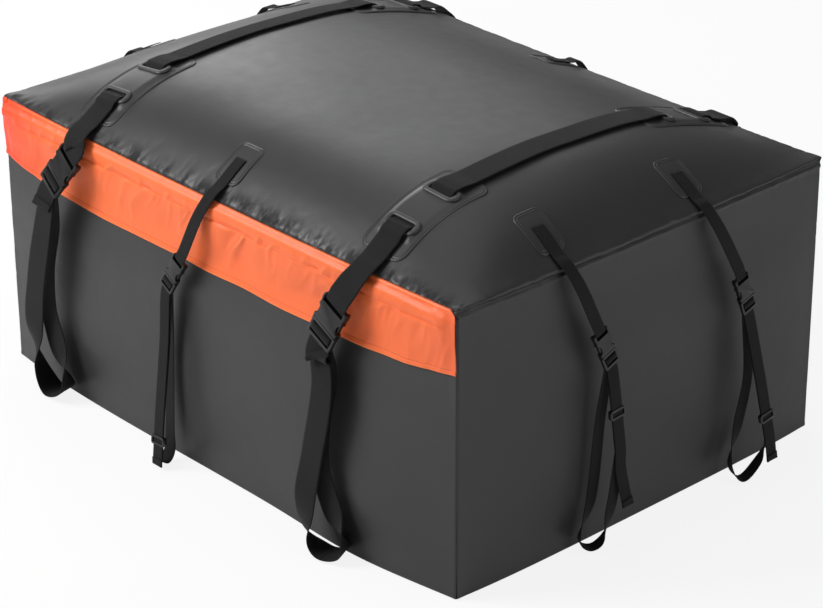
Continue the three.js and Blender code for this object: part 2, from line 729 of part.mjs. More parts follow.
// Everything below the top seam: buckle frame, keeper frame and the route of
// the webbing from the seam through both halves to the hemmed tail.
function hangingStrap(spec, side) {
  const { size } = spec;
  const t = size.thickness;
  const at = ([across, out, height]) => sidePoint(side, spec.across + across, out, height);
  const hung = (p) => station(at(p), sideAcross(side));
  const top = at(spec.top);
  const foot = at(spec.foot);
  const down = new THREE.Vector3().subVectors(foot, top).normalize();
  const mouth = top.clone().addScaledVector(down, femaleLength(size));
  const buckle = strapFrame(side, foot, top, mouth);
  const inFrame = (frame) => {
    const wide = new THREE.Vector3().setFromMatrixColumn(frame, 0);
    return (y, z) => station(new THREE.Vector3(0, y, z).applyMatrix4(frame), wide);
  };
  const inBuckle = inFrame(buckle);

  const front = BAR_HALF + WEAVE + t / 2;
  const back = -(size.depth / 2 + WEAVE + t / 2);
  const barLow = size.body + size.slot;
  const crossing = size.body + size.slot / 2;
  const through = new THREE.CubicBezierCurve(
    new THREE.Vector2(barLow - 0.2, front),
    new THREE.Vector2(crossing - t / 2, front),
    new THREE.Vector2(crossing + t / 2, back),
    new THREE.Vector2(size.body - 0.6, back),
  ).getPoints(6);
  const start = inBuckle(barLow + size.bar + 15, front);
  const low = -maleLength(size);
  const leg = size.frame / 2 + WEAVE + t / 2;
  const barTop = -size.shoulder - size.window;
  const upper = [
    start,
    inBuckle(barLow + size.bar + 6, front),
    inBuckle(barLow + size.bar, front),
    ...through.map((p) => inBuckle(p.x, p.y)),
    inBuckle(low, back),
  ];

  // The loop at the bottom turns in the upright plane of its two legs.
  const inner = spec.inner.map(hung).reverse();
  const [outward, , inward] = spec.loop;
  const turn = new THREE.Vector3().subVectors(at(outward), at(inward)).setZ(0).normalize();
  const wideLow = new THREE.Vector3(-turn.y, turn.x, 0);
  wideLow.multiplyScalar(Math.sign(wideLow.dot(sideAcross(side))));
  const loop = spec.loop.map((p) => station(at(p), wideLow)).reverse();
  const keeperHeight = spec.keeper ? spec.keeper[2] : 0;
  const above = spec.outer.filter((p) => p[2] > keeperHeight).map(hung).reverse();
  const below = spec.outer.filter((p) => p[2] <= keeperHeight).map(hung).reverse();
  const intoLadder = [inBuckle(low - 10, -leg), inBuckle(low, -leg)];
  const around = [];
  for (let i = 0; i <= 4; i++) {
    const angle = (Math.PI * i) / 4;
    around.push(inBuckle(barTop - 0.5 + leg * Math.sin(angle), -leg * Math.cos(angle)));
  }
  const outOfLadder = [inBuckle(low, leg), inBuckle(low - 10, leg)];
  const end = spec.tail.map(hung);
  if (!spec.keeper) {
    const hanging = curveThrough([inBuckle(low, back), ...inner, ...loop, ...above, ...intoLadder], 17);
    const tail = curveThrough([...outOfLadder, ...end], 3);
    return { buckle, stations: [...upper, ...hanging.slice(1), ...around, ...tail], start };
  }
  const gauge = t / 2 + WEAVE / 2;
  const centre = at(spec.keeper);
  const next = above.length ? above[0].point : inBuckle(low, 0).point;
  const keeper = strapFrame(side, centre, next, centre);
  const inKeeper = inFrame(keeper);
  const reach = KEEPER.length * 0.75;
  const layer = (z) => [inKeeper(-reach, z), inKeeper(reach, z)];
  const clear = new THREE.Vector3(...SIDES[side].out, 0).multiplyScalar(2 * gauge + 1.5);
  const beside = (s) => station(s.point.clone().add(clear), s.wide);
  const hanging = curveThrough([inBuckle(low, back), ...inner, ...loop, ...below, inKeeper(-reach, -gauge)], 13);
  const toLadder = curveThrough([inKeeper(reach, -gauge), ...above, ...intoLadder], 4);
  const toKeeper = curveThrough([...outOfLadder, ...above.map(beside).reverse(), inKeeper(reach, gauge)], 4);
  const tail = curveThrough([inKeeper(-reach, gauge), ...end], 3);
  const stations = [...upper, ...hanging.slice(1), ...toLadder, ...around, ...toKeeper, ...tail];
  return { buckle, keeper, stations, start };
}

// From the lid over the top seam and down to the buckle.
function overSeam(spec, side, start, lift) {
  const flap = SEAT + FLAP_STAND + FLAP_THICK + 6;
  const wide = sideAcross(side);
  const middle = sidePoint(side, spec.across, flap, SEAM_HEIGHT);
  middle.lerp(start.point, 0.3).setZ(SEAM_HEIGHT + (start.point.z - SEAM_HEIGHT) * 0.3);
  return curveThrough([
    onLid(side, spec.across, 16, lift + 0.5),
    station(sidePoint(side, spec.across, 3, SEAM_HEIGHT + lift + 2), wide),
    station(middle, wide),
    start,
  ], 7);
}

function onLid(side, across, inward, offset) {
  const frame = lidFrame(side, across, inward, offset);
  const wide = new THREE.Vector3().setFromMatrixColumn(frame, 0);
  return station(new THREE.Vector3().setFromMatrixPosition(frame), wide);
}

const SMALL_LIFT = ON_CURVE + PATCH_THICK + WEAVE + NARROW.thickness / 2;
const STRAP_START = SMALL_PATCH.far - 16;
const male = new Map();
const female = new Map();
for (const size of [NARROW, WIDE]) {
  male.set(size, geometryOf(maleHalf(size)));
  female.set(size, geometryOf(femaleHalf(size)));
}
const keeperGeometry = geometryOf(keeperLoop(NARROW));

function addFittings(name, hanging, size) {
  addMesh(`${name}_buckle_female`, female.get(size), PLASTIC, hanging.buckle);
  addMesh(`${name}_buckle_male`, male.get(size), PLASTIC, hanging.buckle);
  if (hanging.keeper) {
    addMesh(`${name}_keeper`, keeperGeometry, PLASTIC, hanging.keeper);
  }
}

for (const spec of STRAPS.filter((s) => s.size === NARROW)) {
  for (const side of spec.sides) {
    const name = `${side}_${spec.label}`;
    const patch = lidPatch(side, spec.across, SMALL_PATCH, 2, ON_CURVE, ON_CURVE + PATCH_THICK);
    addMesh(`${name}_patch`, geometryOf(patch), FABRIC);
    const hanging = hangingStrap(spec, side);
    const sewn = [];
    for (let inward = STRAP_START; inward > 24; inward -= 18) {
      sewn.push(onLid(side, spec.across, inward, SMALL_LIFT));
    }
    const over = overSeam(spec, side, hanging.start, SMALL_LIFT);
    const stations = [...sewn, ...over.slice(0, -1), ...hanging.stations];
    addMesh(`${name}_strap`, ribbon(stations, spec.size), WEBBING);
    addFittings(name, hanging, spec.size);
  }
}

// Height of a wide strap over the lid at each distance in from the seam: up
// over the first frame, down through its slot, under the patch and out again.
const WIDE_LIFT = ON_CURVE + WIDE.thickness / 2;
const WIDE_OVER_PATCH = SLOT_TOP + WEAVE + WIDE.thickness / 2;
const WIDE_OVER_FRAME = WIDE_OVER_PATCH + SLOT_FRAME.height + 2 * WEAVE;

function ease(from, to, share) {
  const s = THREE.MathUtils.clamp(share, 0, 1);
  return from + (to - from) * s * s * (3 - 2 * s);
}

function wideLift(inward) {
  const [first, last] = SLOT_CENTRES;
  const half = SLOT_LENGTH / 2;
  const bar = (SLOT_FRAME.depth - SLOT_LENGTH) / 2;
  if (inward < first - half - bar) {
    return ease(WIDE_OVER_PATCH, WIDE_OVER_FRAME, (inward - (first - half - bar - 12)) / 10);
  }
  if (inward < (first + last) / 2) {
    return ease(WIDE_OVER_FRAME, WIDE_LIFT, (inward - (first - half - 1)) / (SLOT_LENGTH + 0.5));
  }
  if (inward < last + half + bar) {
    return ease(WIDE_LIFT, WIDE_OVER_FRAME, (inward - (last - half + 0.5)) / (SLOT_LENGTH + 0.5));
  }
  return ease(WIDE_OVER_FRAME, WIDE_OVER_PATCH, (inward - (last + half + bar + 2)) / 40);
}

function wideOnLid(side, across, middle) {
  const [first, last] = SLOT_CENTRES;
  const between = (first + last) / 2;
  const places = [28, 40, 52];
  for (const centre of [first, last]) {
    for (let step = -16; step <= 16; step += 4) {
      places.push(centre + step);
    }
    if (centre === first) {
      places.push(between - 12, between + 12);
    }
  }
  for (let inward = last + 32; inward < BAG_WIDTH / 2; inward += 38) {
    places.push(inward);
  }
  const free = last + SLOT_FRAME.depth;
  return places.map((inward) => {
    const drift = ease(across, middle, (inward - free) / (BAG_WIDTH / 2 - free));
    return onLid(side, drift, inward, wideLift(inward));
  });
}

// A wide strap ties its front buckle to the one straight behind it. The back
// of the bag is the front turned about, so each takes the other's entry.
const [rightWide, leftWide] = STRAPS.filter((s) => s.size === WIDE);
for (const [hand, frontSpec, backSpec] of [['right', rightWide, leftWide], ['left', leftWide, rightWide]]) {
  const middle = (frontSpec.across - backSpec.across) / 2;
  const ends = [['front', frontSpec, middle], ['back', backSpec, -middle]].map(([side, spec, aim]) => {
    const hanging = hangingStrap(spec, side);
    addMesh(`${side}_${hand}_patch`, geometryOf(slotPatch(side, spec.across)), FRAME_PLASTIC);
    addFittings(`${side}_${hand}`, hanging, WIDE);
    const over = overSeam(spec, side, hanging.start, WIDE_OVER_PATCH);
    return [...wideOnLid(side, spec.across, aim).reverse(), ...over.slice(0, -1), ...hanging.stations];
  });
  const [toFront, toBack] = ends;
  for (const s of toBack) {
    s.wide = s.wide.clone().negate();
  }
  addMesh(`wide_strap_${hand}`, ribbon([...toFront.reverse(), ...toBack], WIDE), WEBBING);
}

export default bag;
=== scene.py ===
"""Looks of a soft roof cargo bag, packed full: fabric, webbing, buckles and zip.

Sizes are in millimetres until a mesh is made. X runs along the long side,
-Y is the side with the storm flap and +Z is up.
"""
import json
import math

import bmesh
import bpy
import numpy as np
from mathutils import Matrix, Vector

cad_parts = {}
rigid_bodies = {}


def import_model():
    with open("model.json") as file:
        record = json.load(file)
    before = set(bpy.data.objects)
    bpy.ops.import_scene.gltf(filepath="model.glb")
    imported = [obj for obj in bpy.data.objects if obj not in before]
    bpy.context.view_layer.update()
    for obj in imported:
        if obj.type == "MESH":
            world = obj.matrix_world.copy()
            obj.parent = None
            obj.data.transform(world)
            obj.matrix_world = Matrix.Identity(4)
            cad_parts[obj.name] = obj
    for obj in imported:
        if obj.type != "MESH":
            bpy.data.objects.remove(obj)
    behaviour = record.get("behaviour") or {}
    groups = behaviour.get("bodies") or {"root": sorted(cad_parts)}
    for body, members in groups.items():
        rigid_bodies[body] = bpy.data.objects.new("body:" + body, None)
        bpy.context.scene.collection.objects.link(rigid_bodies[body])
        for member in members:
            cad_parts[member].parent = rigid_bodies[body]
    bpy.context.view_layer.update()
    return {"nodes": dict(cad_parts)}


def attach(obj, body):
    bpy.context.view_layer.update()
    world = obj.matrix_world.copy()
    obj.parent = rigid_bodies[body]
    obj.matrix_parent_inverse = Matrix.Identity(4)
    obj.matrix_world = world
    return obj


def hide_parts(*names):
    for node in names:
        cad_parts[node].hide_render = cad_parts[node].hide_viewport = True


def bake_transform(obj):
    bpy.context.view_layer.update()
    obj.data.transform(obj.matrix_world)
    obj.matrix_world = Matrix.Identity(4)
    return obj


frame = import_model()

MM = 0.001

# Bag body
LENGTH, WIDTH, SEAM = 1200.0, 870.0, 530.0
LONG_BULGE, END_BULGE, ZIP_BAND, BULGE_DEPTH = 22.0, 10.0, 60.0, 170.0
CROWN = 95.0
FRONT_SHOULDER, BACK_SHOULDER = 92.0, 190.0
RIGHT_SHOULDER, LEFT_SHOULDER = 82.0, 125.0
SHOULDER_POWER = 1.25

# Clearances
ON_CURVE, WEAVE = 0.8, 0.4

# Zip and storm flap
ZIP_HEIGHT = SEAM - 26.0
ZIP_LENGTH = LENGTH - 44.0
TAPE_WIDTH, COIL_SPLIT, COIL_WIDTH, TOOTH_PITCH = 15.0, 2.2, 2.6, 2.4
FLAP_THICK, FLAP_STAND, ZIP_ROOM = 1.6, 17.9, 11.9

# Patches and moulded slot frames
SMALL_PATCH = dict(width=62.0, near=22.0, far=98.0, corner=14.0)
SLOT_PATCH = dict(width=104.0, near=24.0, far=232.0, corner=20.0)
SLOT_TOP = 3.8 + ON_CURVE
SLOT_FRAME = dict(width=76.0, depth=33.0, height=3.4)
SLOT_LENGTH = 15.0
SLOT_CENTRES = (79.0, 167.0)
WELD = 6.5

# Webbing and the buckles made for it
NARROW = dict(webbing=25.0, thickness=1.6, bar=4.0, slot=7.0, body=33.0, depth=11.0,
              frame=6.0, shoulder=4.0, window=8.0, ladder=7.0)
WIDE = dict(webbing=50.0, thickness=2.2, bar=5.0, slot=8.5, body=37.0, depth=13.0,
            frame=7.0, shoulder=5.0, window=10.0, ladder=8.0)
BAR_HALF, KEEPER_LENGTH, CURVE_ROOM, BLEND_START = 2.2, 17.0, 25.0, 22.0
HEM, STITCH_LIFT = 12.0, 0.12

# Routes of the straps: where each crosses the seam, and its points as (across
# from there, out from the face, height). A strap and its twin share one entry.
# The first two are the wide straps, right and left as seen from the front.
# The wide straps' inner legs rise in sight beside their outer legs: real webbing, placed so that its dark band also
# stands in for the shadow on the wall.
STRAPS = [
    dict(size=WIDE, across=LENGTH / 2 - 212,
         top=(-32, 35, 467), foot=(-63, 49, 396),
         outer=[(-52, 56, 314), (-77, 60, 172), (-90, 66, 84)],
         loop=[(-84, 67, 34), (-42, 63, 5), (-8, 50, 17)], twist=(0.35, 0.9, 0.8),
         inner=[(-40, 46, 74), (-72, 45, 150), (-74, 41, 240), (-58, 37, 335)],
         tail=[(-58, 57, 364)]),
    dict(size=WIDE, across=236 - LENGTH / 2,
         top=(5, 29, 498), foot=(-38, 56, 428),
         outer=[(-60, 61, 322), (-86, 62, 215), (-104, 57, 125)],
         loop=[(-102, 53, 56), (-64, 49, 7), (-28, 46, 26)], twist=(0.6, 1.0, 0.8),
         inner=[(-54, 41, 92), (-80, 40, 170), (-78, 40, 260), (-56, 40, 350)],
         tail=[(-46, 65, 392)]),
    dict(label="middle", sides=("front", "back"), size=NARROW, across=0.0,
         top=(-51, 35, 404), foot=(-84, 46, 339),
         outer=[(-78, 55, 246), (-86, 66, 127)],
         loop=[(-83, 76, 10), (-85, 64, 5.5), (-88, 50, 18)],
         inner=[(-96, 40, 60), (-96, 34, 200)],
         tail=[(-79.5, 83.7, 7)], keeper=(-82, 77, 52), travel=(20, 40)),
    dict(label="first", sides=("right", "left"), size=NARROW, across=238 - WIDTH / 2,
         top=(46, 35, 409), foot=(69, 45, 345),
         outer=[(73, 54, 170), (65, 56, 80)],
         loop=[(49, 50, 18), (33, 40, 7), (17, 31, 20)],
         inner=[(45, 28, 90), (61, 30, 240)],
         tail=[(81, 61, 150), (93, 68, 78)], keeper=(77, 52, 253), travel=(60, 30)),
    dict(label="second", sides=("right", "left"), size=NARROW, across=WIDTH / 2 - 303,
         top=(61, 35, 394), foot=(78, 42, 337),
         outer=[(114, 66, 70)],
         loop=[(102, 62, 30), (64, 57, 7), (55, 40, 26)],
         inner=[(79, 32, 100), (96, 34, 190)],
         tail=[(118, 74, 70), (125, 74, 30)], keeper=(111, 68, 118), travel=(30, 60)),
]

# Each side of the bag: the way across it, seen from outside, and the way out.
SIDES = {
    "front": ((1, 0), (0, -1), WIDTH / 2),
    "right": ((0, 1), (1, 0), LENGTH / 2),
    "back": ((-1, 0), (0, 1), WIDTH / 2),
    "left": ((0, -1), (-1, 0), LENGTH / 2),
}
SEEDS = {"front": 41, "right": 43, "back": 45, "left": 47}
WHITE = (1, 1, 1, 1)


# Camera

def linked(name, data):
    obj = bpy.data.objects.new(name, data)
    bpy.context.scene.collection.objects.link(obj)
    return obj


def make_camera():
    data = bpy.data.cameras.new("camera")
    data.lens = 134.9
    data.sensor_width = 36.0
    camera = linked("camera", data)
    yaw, pitch, roll = (math.radians(a) for a in (47.37, 26.54, -0.23))
    turn = Matrix.Rotation(yaw, 4, "Z") @ Matrix.Rotation(math.pi / 2 - pitch, 4, "X")
    camera.matrix_world = Matrix.Translation((3.7207, -3.4056, 2.6950)) @ turn @ Matrix.Rotation(roll, 4, "Z")
    bpy.context.scene.camera = camera


make_camera()


# Noise

def lattice(ix, iy, seed):
    """A fixed number from -1 to 1 for each corner of a square grid."""
    h = (ix * 374761393 + iy * 668265263 + seed * 974711) & 0xFFFFFFFF
    h = ((h ^ (h >> 13)) * 1274126177) & 0xFFFFFFFF
    return ((h ^ (h >> 16)) & 0xFFFF) / 32767.5 - 1


def noise(x, y, seed):
    """Smooth noise from -1 to 1, with one bump or dip a unit or so."""
    x, y = np.broadcast_arrays(np.asarray(x, float), np.asarray(y, float))
    ix, iy = np.floor(x).astype(np.int64), np.floor(y).astype(np.int64)
    fx, fy = x - ix, y - iy
    fx, fy = fx * fx * (3 - 2 * fx), fy * fy * (3 - 2 * fy)
    low = lattice(ix, iy, seed) * (1 - fx) + lattice(ix + 1, iy, seed) * fx
    high = lattice(ix, iy + 1, seed) * (1 - fx) + lattice(ix + 1, iy + 1, seed) * fx
    return low * (1 - fy) + high * fy


def creases(x, y, seed, sharp):
    """Narrow valleys, 0 to 1, where the noise changes sign."""
    return (1 - np.abs(noise(x, y, seed))) ** sharp


def smooth(t):
    t = np.clip(t, 0, 1)
    return t * t * (3 - 2 * t)


# Bag shape

def side_point(side, across, out, height):
    (ax, ay), (ox, oy), reach = SIDES[side]
    across, out, height = np.broadcast_arrays(*(np.asarray(v, float) for v in (across, out, height)))
    return np.stack([ax * across + ox * (reach + out), ay * across + oy * (reach + out), height], -1)


def side_across(side):
    return np.array([*SIDES[side][0], 0.0])


def side_out(side):
    return np.array([*SIDES[side][1], 0.0])


def swell(distance, shoulder):
    return 1 - np.exp(-((np.maximum(distance, 0) / shoulder) ** SHOULDER_POWER))


def crown(x, y):
    along = swell(LENGTH / 2 - x, RIGHT_SHOULDER) * swell(LENGTH / 2 + x, LEFT_SHOULDER)
    deep = swell(WIDTH / 2 + y, FRONT_SHOULDER) * swell(WIDTH / 2 - y, BACK_SHOULDER)
    return CROWN * along * deep


def unit(v):
    return v / np.maximum(np.linalg.norm(v, axis=-1, keepdims=True), 1e-12)


def lid_surface(side, across, inward):
    p = side_point(side, across, -inward, 0)
    p[..., 2] = SEAM + crown(p[..., 0], p[..., 1])
    return p


def lid_frame(side, across, inward, offset=0.0):
    """Places on the lid: origins, and the three ways there as x, y and z."""
    across, inward = np.asarray(across, float), np.asarray(inward, float)
    x = unit(lid_surface(side, across + 1, inward) - lid_surface(side, across - 1, inward))
    y = lid_surface(side, across, inward + 1) - lid_surface(side, across, inward - 1)
    z = unit(np.cross(x, y))
    origin = lid_surface(side, across, inward) + z * np.asarray(offset, float)[..., None]
    return origin, x, np.cross(z, x), z


# Meshes

def make_object(name, points, faces, material, uv=None):
    """A smooth-shaded mesh object from points in millimetres."""
    mesh = bpy.data.meshes.new(name)
    mesh.from_pydata((np.asarray(points).reshape(-1, 3) * MM).tolist(), [], faces)
    if uv is not None:
        layer = mesh.uv_layers.new(name="UVMap")
        corners = np.empty(len(mesh.loops), np.int32)
        mesh.loops.foreach_get("vertex_index", corners)
        layer.data.foreach_set("uv", np.asarray(uv, float).reshape(-1, 2)[corners].ravel())
    mesh.materials.append(material)
    mesh.shade_smooth()
    mesh.validate()
    return linked(name, mesh)


def grid_faces(rows, columns, start=0, wrap=False, flip=False):
    """Quads of a grid of points stored row by row; wrap closes each row."""
    last = columns if wrap else columns - 1
    j, i = np.meshgrid(np.arange(rows - 1), np.arange(last), indexing="ij")
    a = start + j * columns + i
    b = start + j * columns + (i + 1) % columns
    quads = np.stack([a, b, b + columns, a + columns], -1).reshape(-1, 4)
    return (quads[:, ::-1] if flip else quads).tolist()


def tube_faces(rows, columns, start=0, flip=False):
    """Faces of a tube made of rings of points, with a cap over each end."""
    turn = -1 if flip else 1
    first = [start + i for i in range(columns)]
    last = [start + (rows - 1) * columns + i for i in range(columns)]
    return grid_faces(rows, columns, start, True, flip) + [first[::-turn], last[::turn]]


def grid_object(name, points, material):
    return make_object(name, points, grid_faces(*points.shape[:2]), material)


def place(obj, body, slot, *nodes):
    if nodes:
        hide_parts(*nodes)
    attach(obj, body)
    return obj


# Materials

class Nodes:
    """A short way to write the node tree of a material or a world."""

    def __init__(self, block, shader="Principled BSDF"):
        block.use_nodes = True
        self.block = block
        self.tree = block.node_tree
        self.shader = self.tree.nodes[shader]

    def add(self, kind, inputs=(), **settings):
        node = self.tree.nodes.new("ShaderNode" + kind)
        for key, value in settings.items():
            setattr(node, key, value)
        for key, value in dict(inputs).items():
            self.feed(node.inputs[key], value)
        return node

    def feed(self, socket, value):
        if isinstance(value, bpy.types.NodeSocket):
            self.tree.links.new(value, socket)
        else:
            socket.default_value = value

    def shade(self, **values):
        """Feeds the shader; an underscore in a key stands for a space."""
        for key, value in values.items():
            self.feed(self.shader.inputs[key.replace("_", " ")], value)
        return self.block

    def show(self, output, share, other):
        """Mixes another shader over the main one and shows the two."""
        blend = self.add("MixShader", {0: share, 1: self.shader.outputs[0], 2: other.outputs[0]})
        self.feed(self.tree.nodes[output].inputs["Surface"], blend.outputs[0])

    def where(self):
        return self.add("TexCoord").outputs["Object"]

    def edge(self):
        return self.add("NewGeometry").outputs["Pointiness"]

    def split(self, vector):
        return self.add("SeparateXYZ", {0: vector}).outputs

    def math(self, operation, *values):
        return self.add("Math", dict(enumerate(values)), operation=operation).outputs[0]

    def wave(self, value, length):
        return self.math("SINE", self.math("MULTIPLY", value, 2 * math.pi / length))

    def noise(self, vector, scale, detail=2.0, roughness=0.5):
        node = self.add("TexNoise", {"Vector": vector, "Scale": scale, "Detail": detail, "Roughness": roughness})
        return node.outputs["Fac"]

    def ramp(self, value, low, high, start=0.0, end=1.0, **settings):
        """The value, spread from the range low to high onto start to end."""
        ends = {"From Min": low, "From Max": high, "To Min": start, "To Max": end}
        return self.add("MapRange", {"Value": value, **ends}, **settings).outputs[0]

    def mix(self, factor, a, b):
        return self.add("Mix", {0: factor, 6: a, 7: b}, data_type="RGBA").outputs[2]

    def bump(self, height, distance, strength, normal=None):
        node = self.add("Bump", {"Height": height, "Distance": distance, "Strength": strength})
        if normal is not None:
            self.feed(node.inputs["Normal"], normal)
        return node.outputs["Normal"]


def material(name):
    return Nodes(bpy.data.materials.new(name))


def rgba(r, g, b):
    return (r, g, b, 1.0)


def grey(v):
    return rgba(v, v, v * 1.02)


def coated_fabric(name, dark, light, rough, paint_gather_shade=False):
    """Coated fabric: faint weave under a satin skin, with soft cloudy wear, and painted shade in the gathers behind
    the front seam if asked.
    """
    n = material(name)
    where = n.where()
    axes = n.split(where)
    colour = n.mix(n.noise(where, 5.0, 3.0, 0.55), grey(dark), grey(light))
    dull = n.ramp(n.noise(where, 34.0, 3.0), 0.0, 1.0, rough - 0.05, rough + 0.06)
    if paint_gather_shade:
        # Painted shade: darker in spots where the fabric is bunched up behind the front seam; duller there as well.
        front, seam = -WIDTH / 2 * MM, SEAM * MM
        near = n.ramp(axes[1], front + 0.004, front + 0.034, 1.0, 0.0, interpolation_type="SMOOTHSTEP")
        above = n.ramp(axes[2], seam - 0.014, seam - 0.008)
        streaks = n.add("Mapping", {0: where, "Scale": (1.0, 0.45, 0.45)}).outputs[0]
        spots = n.ramp(n.noise(streaks, 55.0, 3.0, 0.65), 0.42, 0.6)
        painted_shade_mask = n.math("MULTIPLY", n.math("MULTIPLY", near, above), n.math("MULTIPLY", spots, 0.7))
        colour = n.mix(painted_shade_mask, colour, rgba(0.0075, 0.0055, 0.0085))
        dull = n.math("MULTIPLY_ADD", painted_shade_mask, 0.6, dull)
    weave = 0.0
    for axis in axes:
        weave = n.math("ADD", n.wave(axis, 0.0011), weave)
    skin = n.bump(n.noise(where, 620.0, 2.0, 0.6), 0.00012, 0.35, n.bump(weave, 0.00001, 0.5))
    return n.shade(Base_Color=colour, Roughness=dull, Specular_IOR_Level=0.39,
                   Normal=n.bump(n.noise(where, 22.0), 0.0012, 0.5, skin))


def webbing_fabric():
    """Woven webbing: ribs across, warp cords along, laid out in its own uv."""
    n = material("webbing")
    across, along, _ = n.split(n.add("UVMap").outputs[0])
    cords = n.wave(across, 0.0032)
    shift = n.math("MULTIPLY", n.math("SIGN", cords), 0.0006)
    ribs = n.wave(n.math("ADD", along, shift), 0.0024)
    cord, rib = n.math("ABSOLUTE", cords), n.math("ABSOLUTE", ribs)
    height = n.math("MULTIPLY", n.math("POWER", cord, 0.6), n.math("POWER", rib, 0.7))
    fuzz = n.noise(n.where(), 900.0)
    base = n.mix(n.math("MULTIPLY", height, 0.75), grey(0.004), grey(0.011))
    return n.shade(Base_Color=n.mix(n.math("MULTIPLY", fuzz, 0.3), base, grey(0.008)), Roughness=0.8,
                   Specular_IOR_Level=0.22, Sheen_Weight=0.05, Sheen_Roughness=0.5,
                   Normal=n.bump(fuzz, 0.0001, 0.4, n.bump(height, 0.00022, 0.9)))


def plastic(name, colour, rough):
    """Moulded plastic with a fine grain and slightly worn edges."""
    n = material(name)
    where = n.where()
    worn = n.ramp(n.edge(), 0.52, 0.62, 0.0, 0.5)
    return n.shade(Base_Color=n.mix(worn, grey(colour), grey(colour * 3.0 + 0.01)),
                   Roughness=n.ramp(n.noise(where, 60.0, 3.0), 0.0, 1.0, rough - 0.06, rough + 0.08),
                   Normal=n.bump(n.noise(where, 1800.0), 0.00005, 0.5))


def thread(name, colour):
    n = material(name)
    twist = n.add("TexWave", {"Vector": n.where(), "Scale": 900.0, "Distortion": 1.0}).outputs["Fac"]
    return n.shade(Base_Color=n.mix(twist, grey(colour * 0.7), grey(colour)), Roughness=0.75,
                   Normal=n.bump(twist, 0.0001, 0.6))


def flap_fabric():
    """Bright coated fabric with painted shade deepening it in the folds, and a little deeper at the left end."""
    n = material("flap_fabric")
    where = n.where()
    x = n.split(where)[0]
    tone = n.mix(n.noise(where, 9.0, 3.0, 0.55), rgba(0.97, 0.190, 0.046), rgba(1.0, 0.235, 0.074))
    # Painted shade: a deeper orange where the folds hollow in.
    tone = n.mix(n.ramp(n.edge(), 0.44, 0.54), rgba(0.94, 0.110, 0.028), tone)
    tone = n.mix(n.ramp(x, -0.6, -0.42), rgba(0.94, 0.058, 0.013), tone)
    tone = n.mix(n.ramp(x, 0.6, 0.53), rgba(1.0, 0.175, 0.058), tone)
    thin = n.bump(n.noise(where, 700.0), 0.0001, 0.3)
    return n.shade(Base_Color=tone, Specular_IOR_Level=0.32,
                   Roughness=n.ramp(n.noise(where, 40.0), 0.0, 1.0, 0.36, 0.5),
                   Normal=n.bump(n.noise(where, 60.0, 3.0), 0.0008, 0.5, thin))


def zip_fabric():
    n = material("zip_tape")
    where = n.where()
    x, _, z = n.split(where)
    weave = n.math("ADD", n.wave(x, 0.0009), n.wave(z, 0.0012))
    return n.shade(Base_Color=n.mix(n.noise(where, 300.0), grey(0.010), grey(0.020)), Roughness=0.85,
                   Normal=n.bump(weave, 0.00012, 0.8))


def zip_metal():
    n = material("zip_metal")
    where = n.where()
    return n.shade(Base_Color=n.mix(n.ramp(n.edge(), 0.5, 0.62), grey(0.045), grey(0.30)), Metallic=0.85,
                   Roughness=n.ramp(n.noise(where, 400.0, 3.0), 0.0, 1.0, 0.3, 0.5),
                   Normal=n.bump(n.noise(where, 900.0, 3.0), 0.00008, 0.5))


# Lid, walls and floor share this fabric, with painted shade in the gathers behind the front seam.
BAG = coated_fabric("bag_fabric", 0.0270, 0.0345, 0.40, paint_gather_shade=True)
PATCH = coated_fabric("patch_fabric", 0.0300, 0.0385, 0.38)
WEBBING = webbing_fabric()
BUCKLE = plastic("buckle_plastic", 0.0055, 0.33)
RING = plastic("slot_frame_plastic", 0.036, 0.42)
THREAD = thread("thread", 0.035)
SEAM_THREAD = thread("seam_thread", 0.10)
FLAP = flap_fabric()
TAPE = zip_fabric()
METAL = zip_metal()


# Bag body

EDGE = np.array([0, 0.8, 1.7, 2.8, 4.2, 6, 8.3, 11, 14.5, 19, 24.5, 31.0])


def lines(half, step):
    """Places from one edge to the other, closer together near both."""
    inside = half - EDGE[-1]
    middle = np.linspace(-inside, inside, max(2, round(2 * inside / step)) + 1)
    return np.concatenate([-half + EDGE[:-1], middle, (half - EDGE[:-1])[::-1]])


ALONG_LONG = lines(LENGTH / 2, 4.0)
ALONG_END = lines(WIDTH / 2, 4.5)
HEIGHTS = np.concatenate([EDGE[:-1], np.linspace(EDGE[-1], SEAM - EDGE[-1], 90), (SEAM - EDGE[:-1])[::-1]])


def pinch(s, reach=1.8):
    return np.exp(-((s / reach) ** 2))


def roll(s, size, reach=4.0):
    """A soft bulge beside a seam, fullest at one reach from it."""
    return size * (s / reach) * np.exp(1 - s / reach)


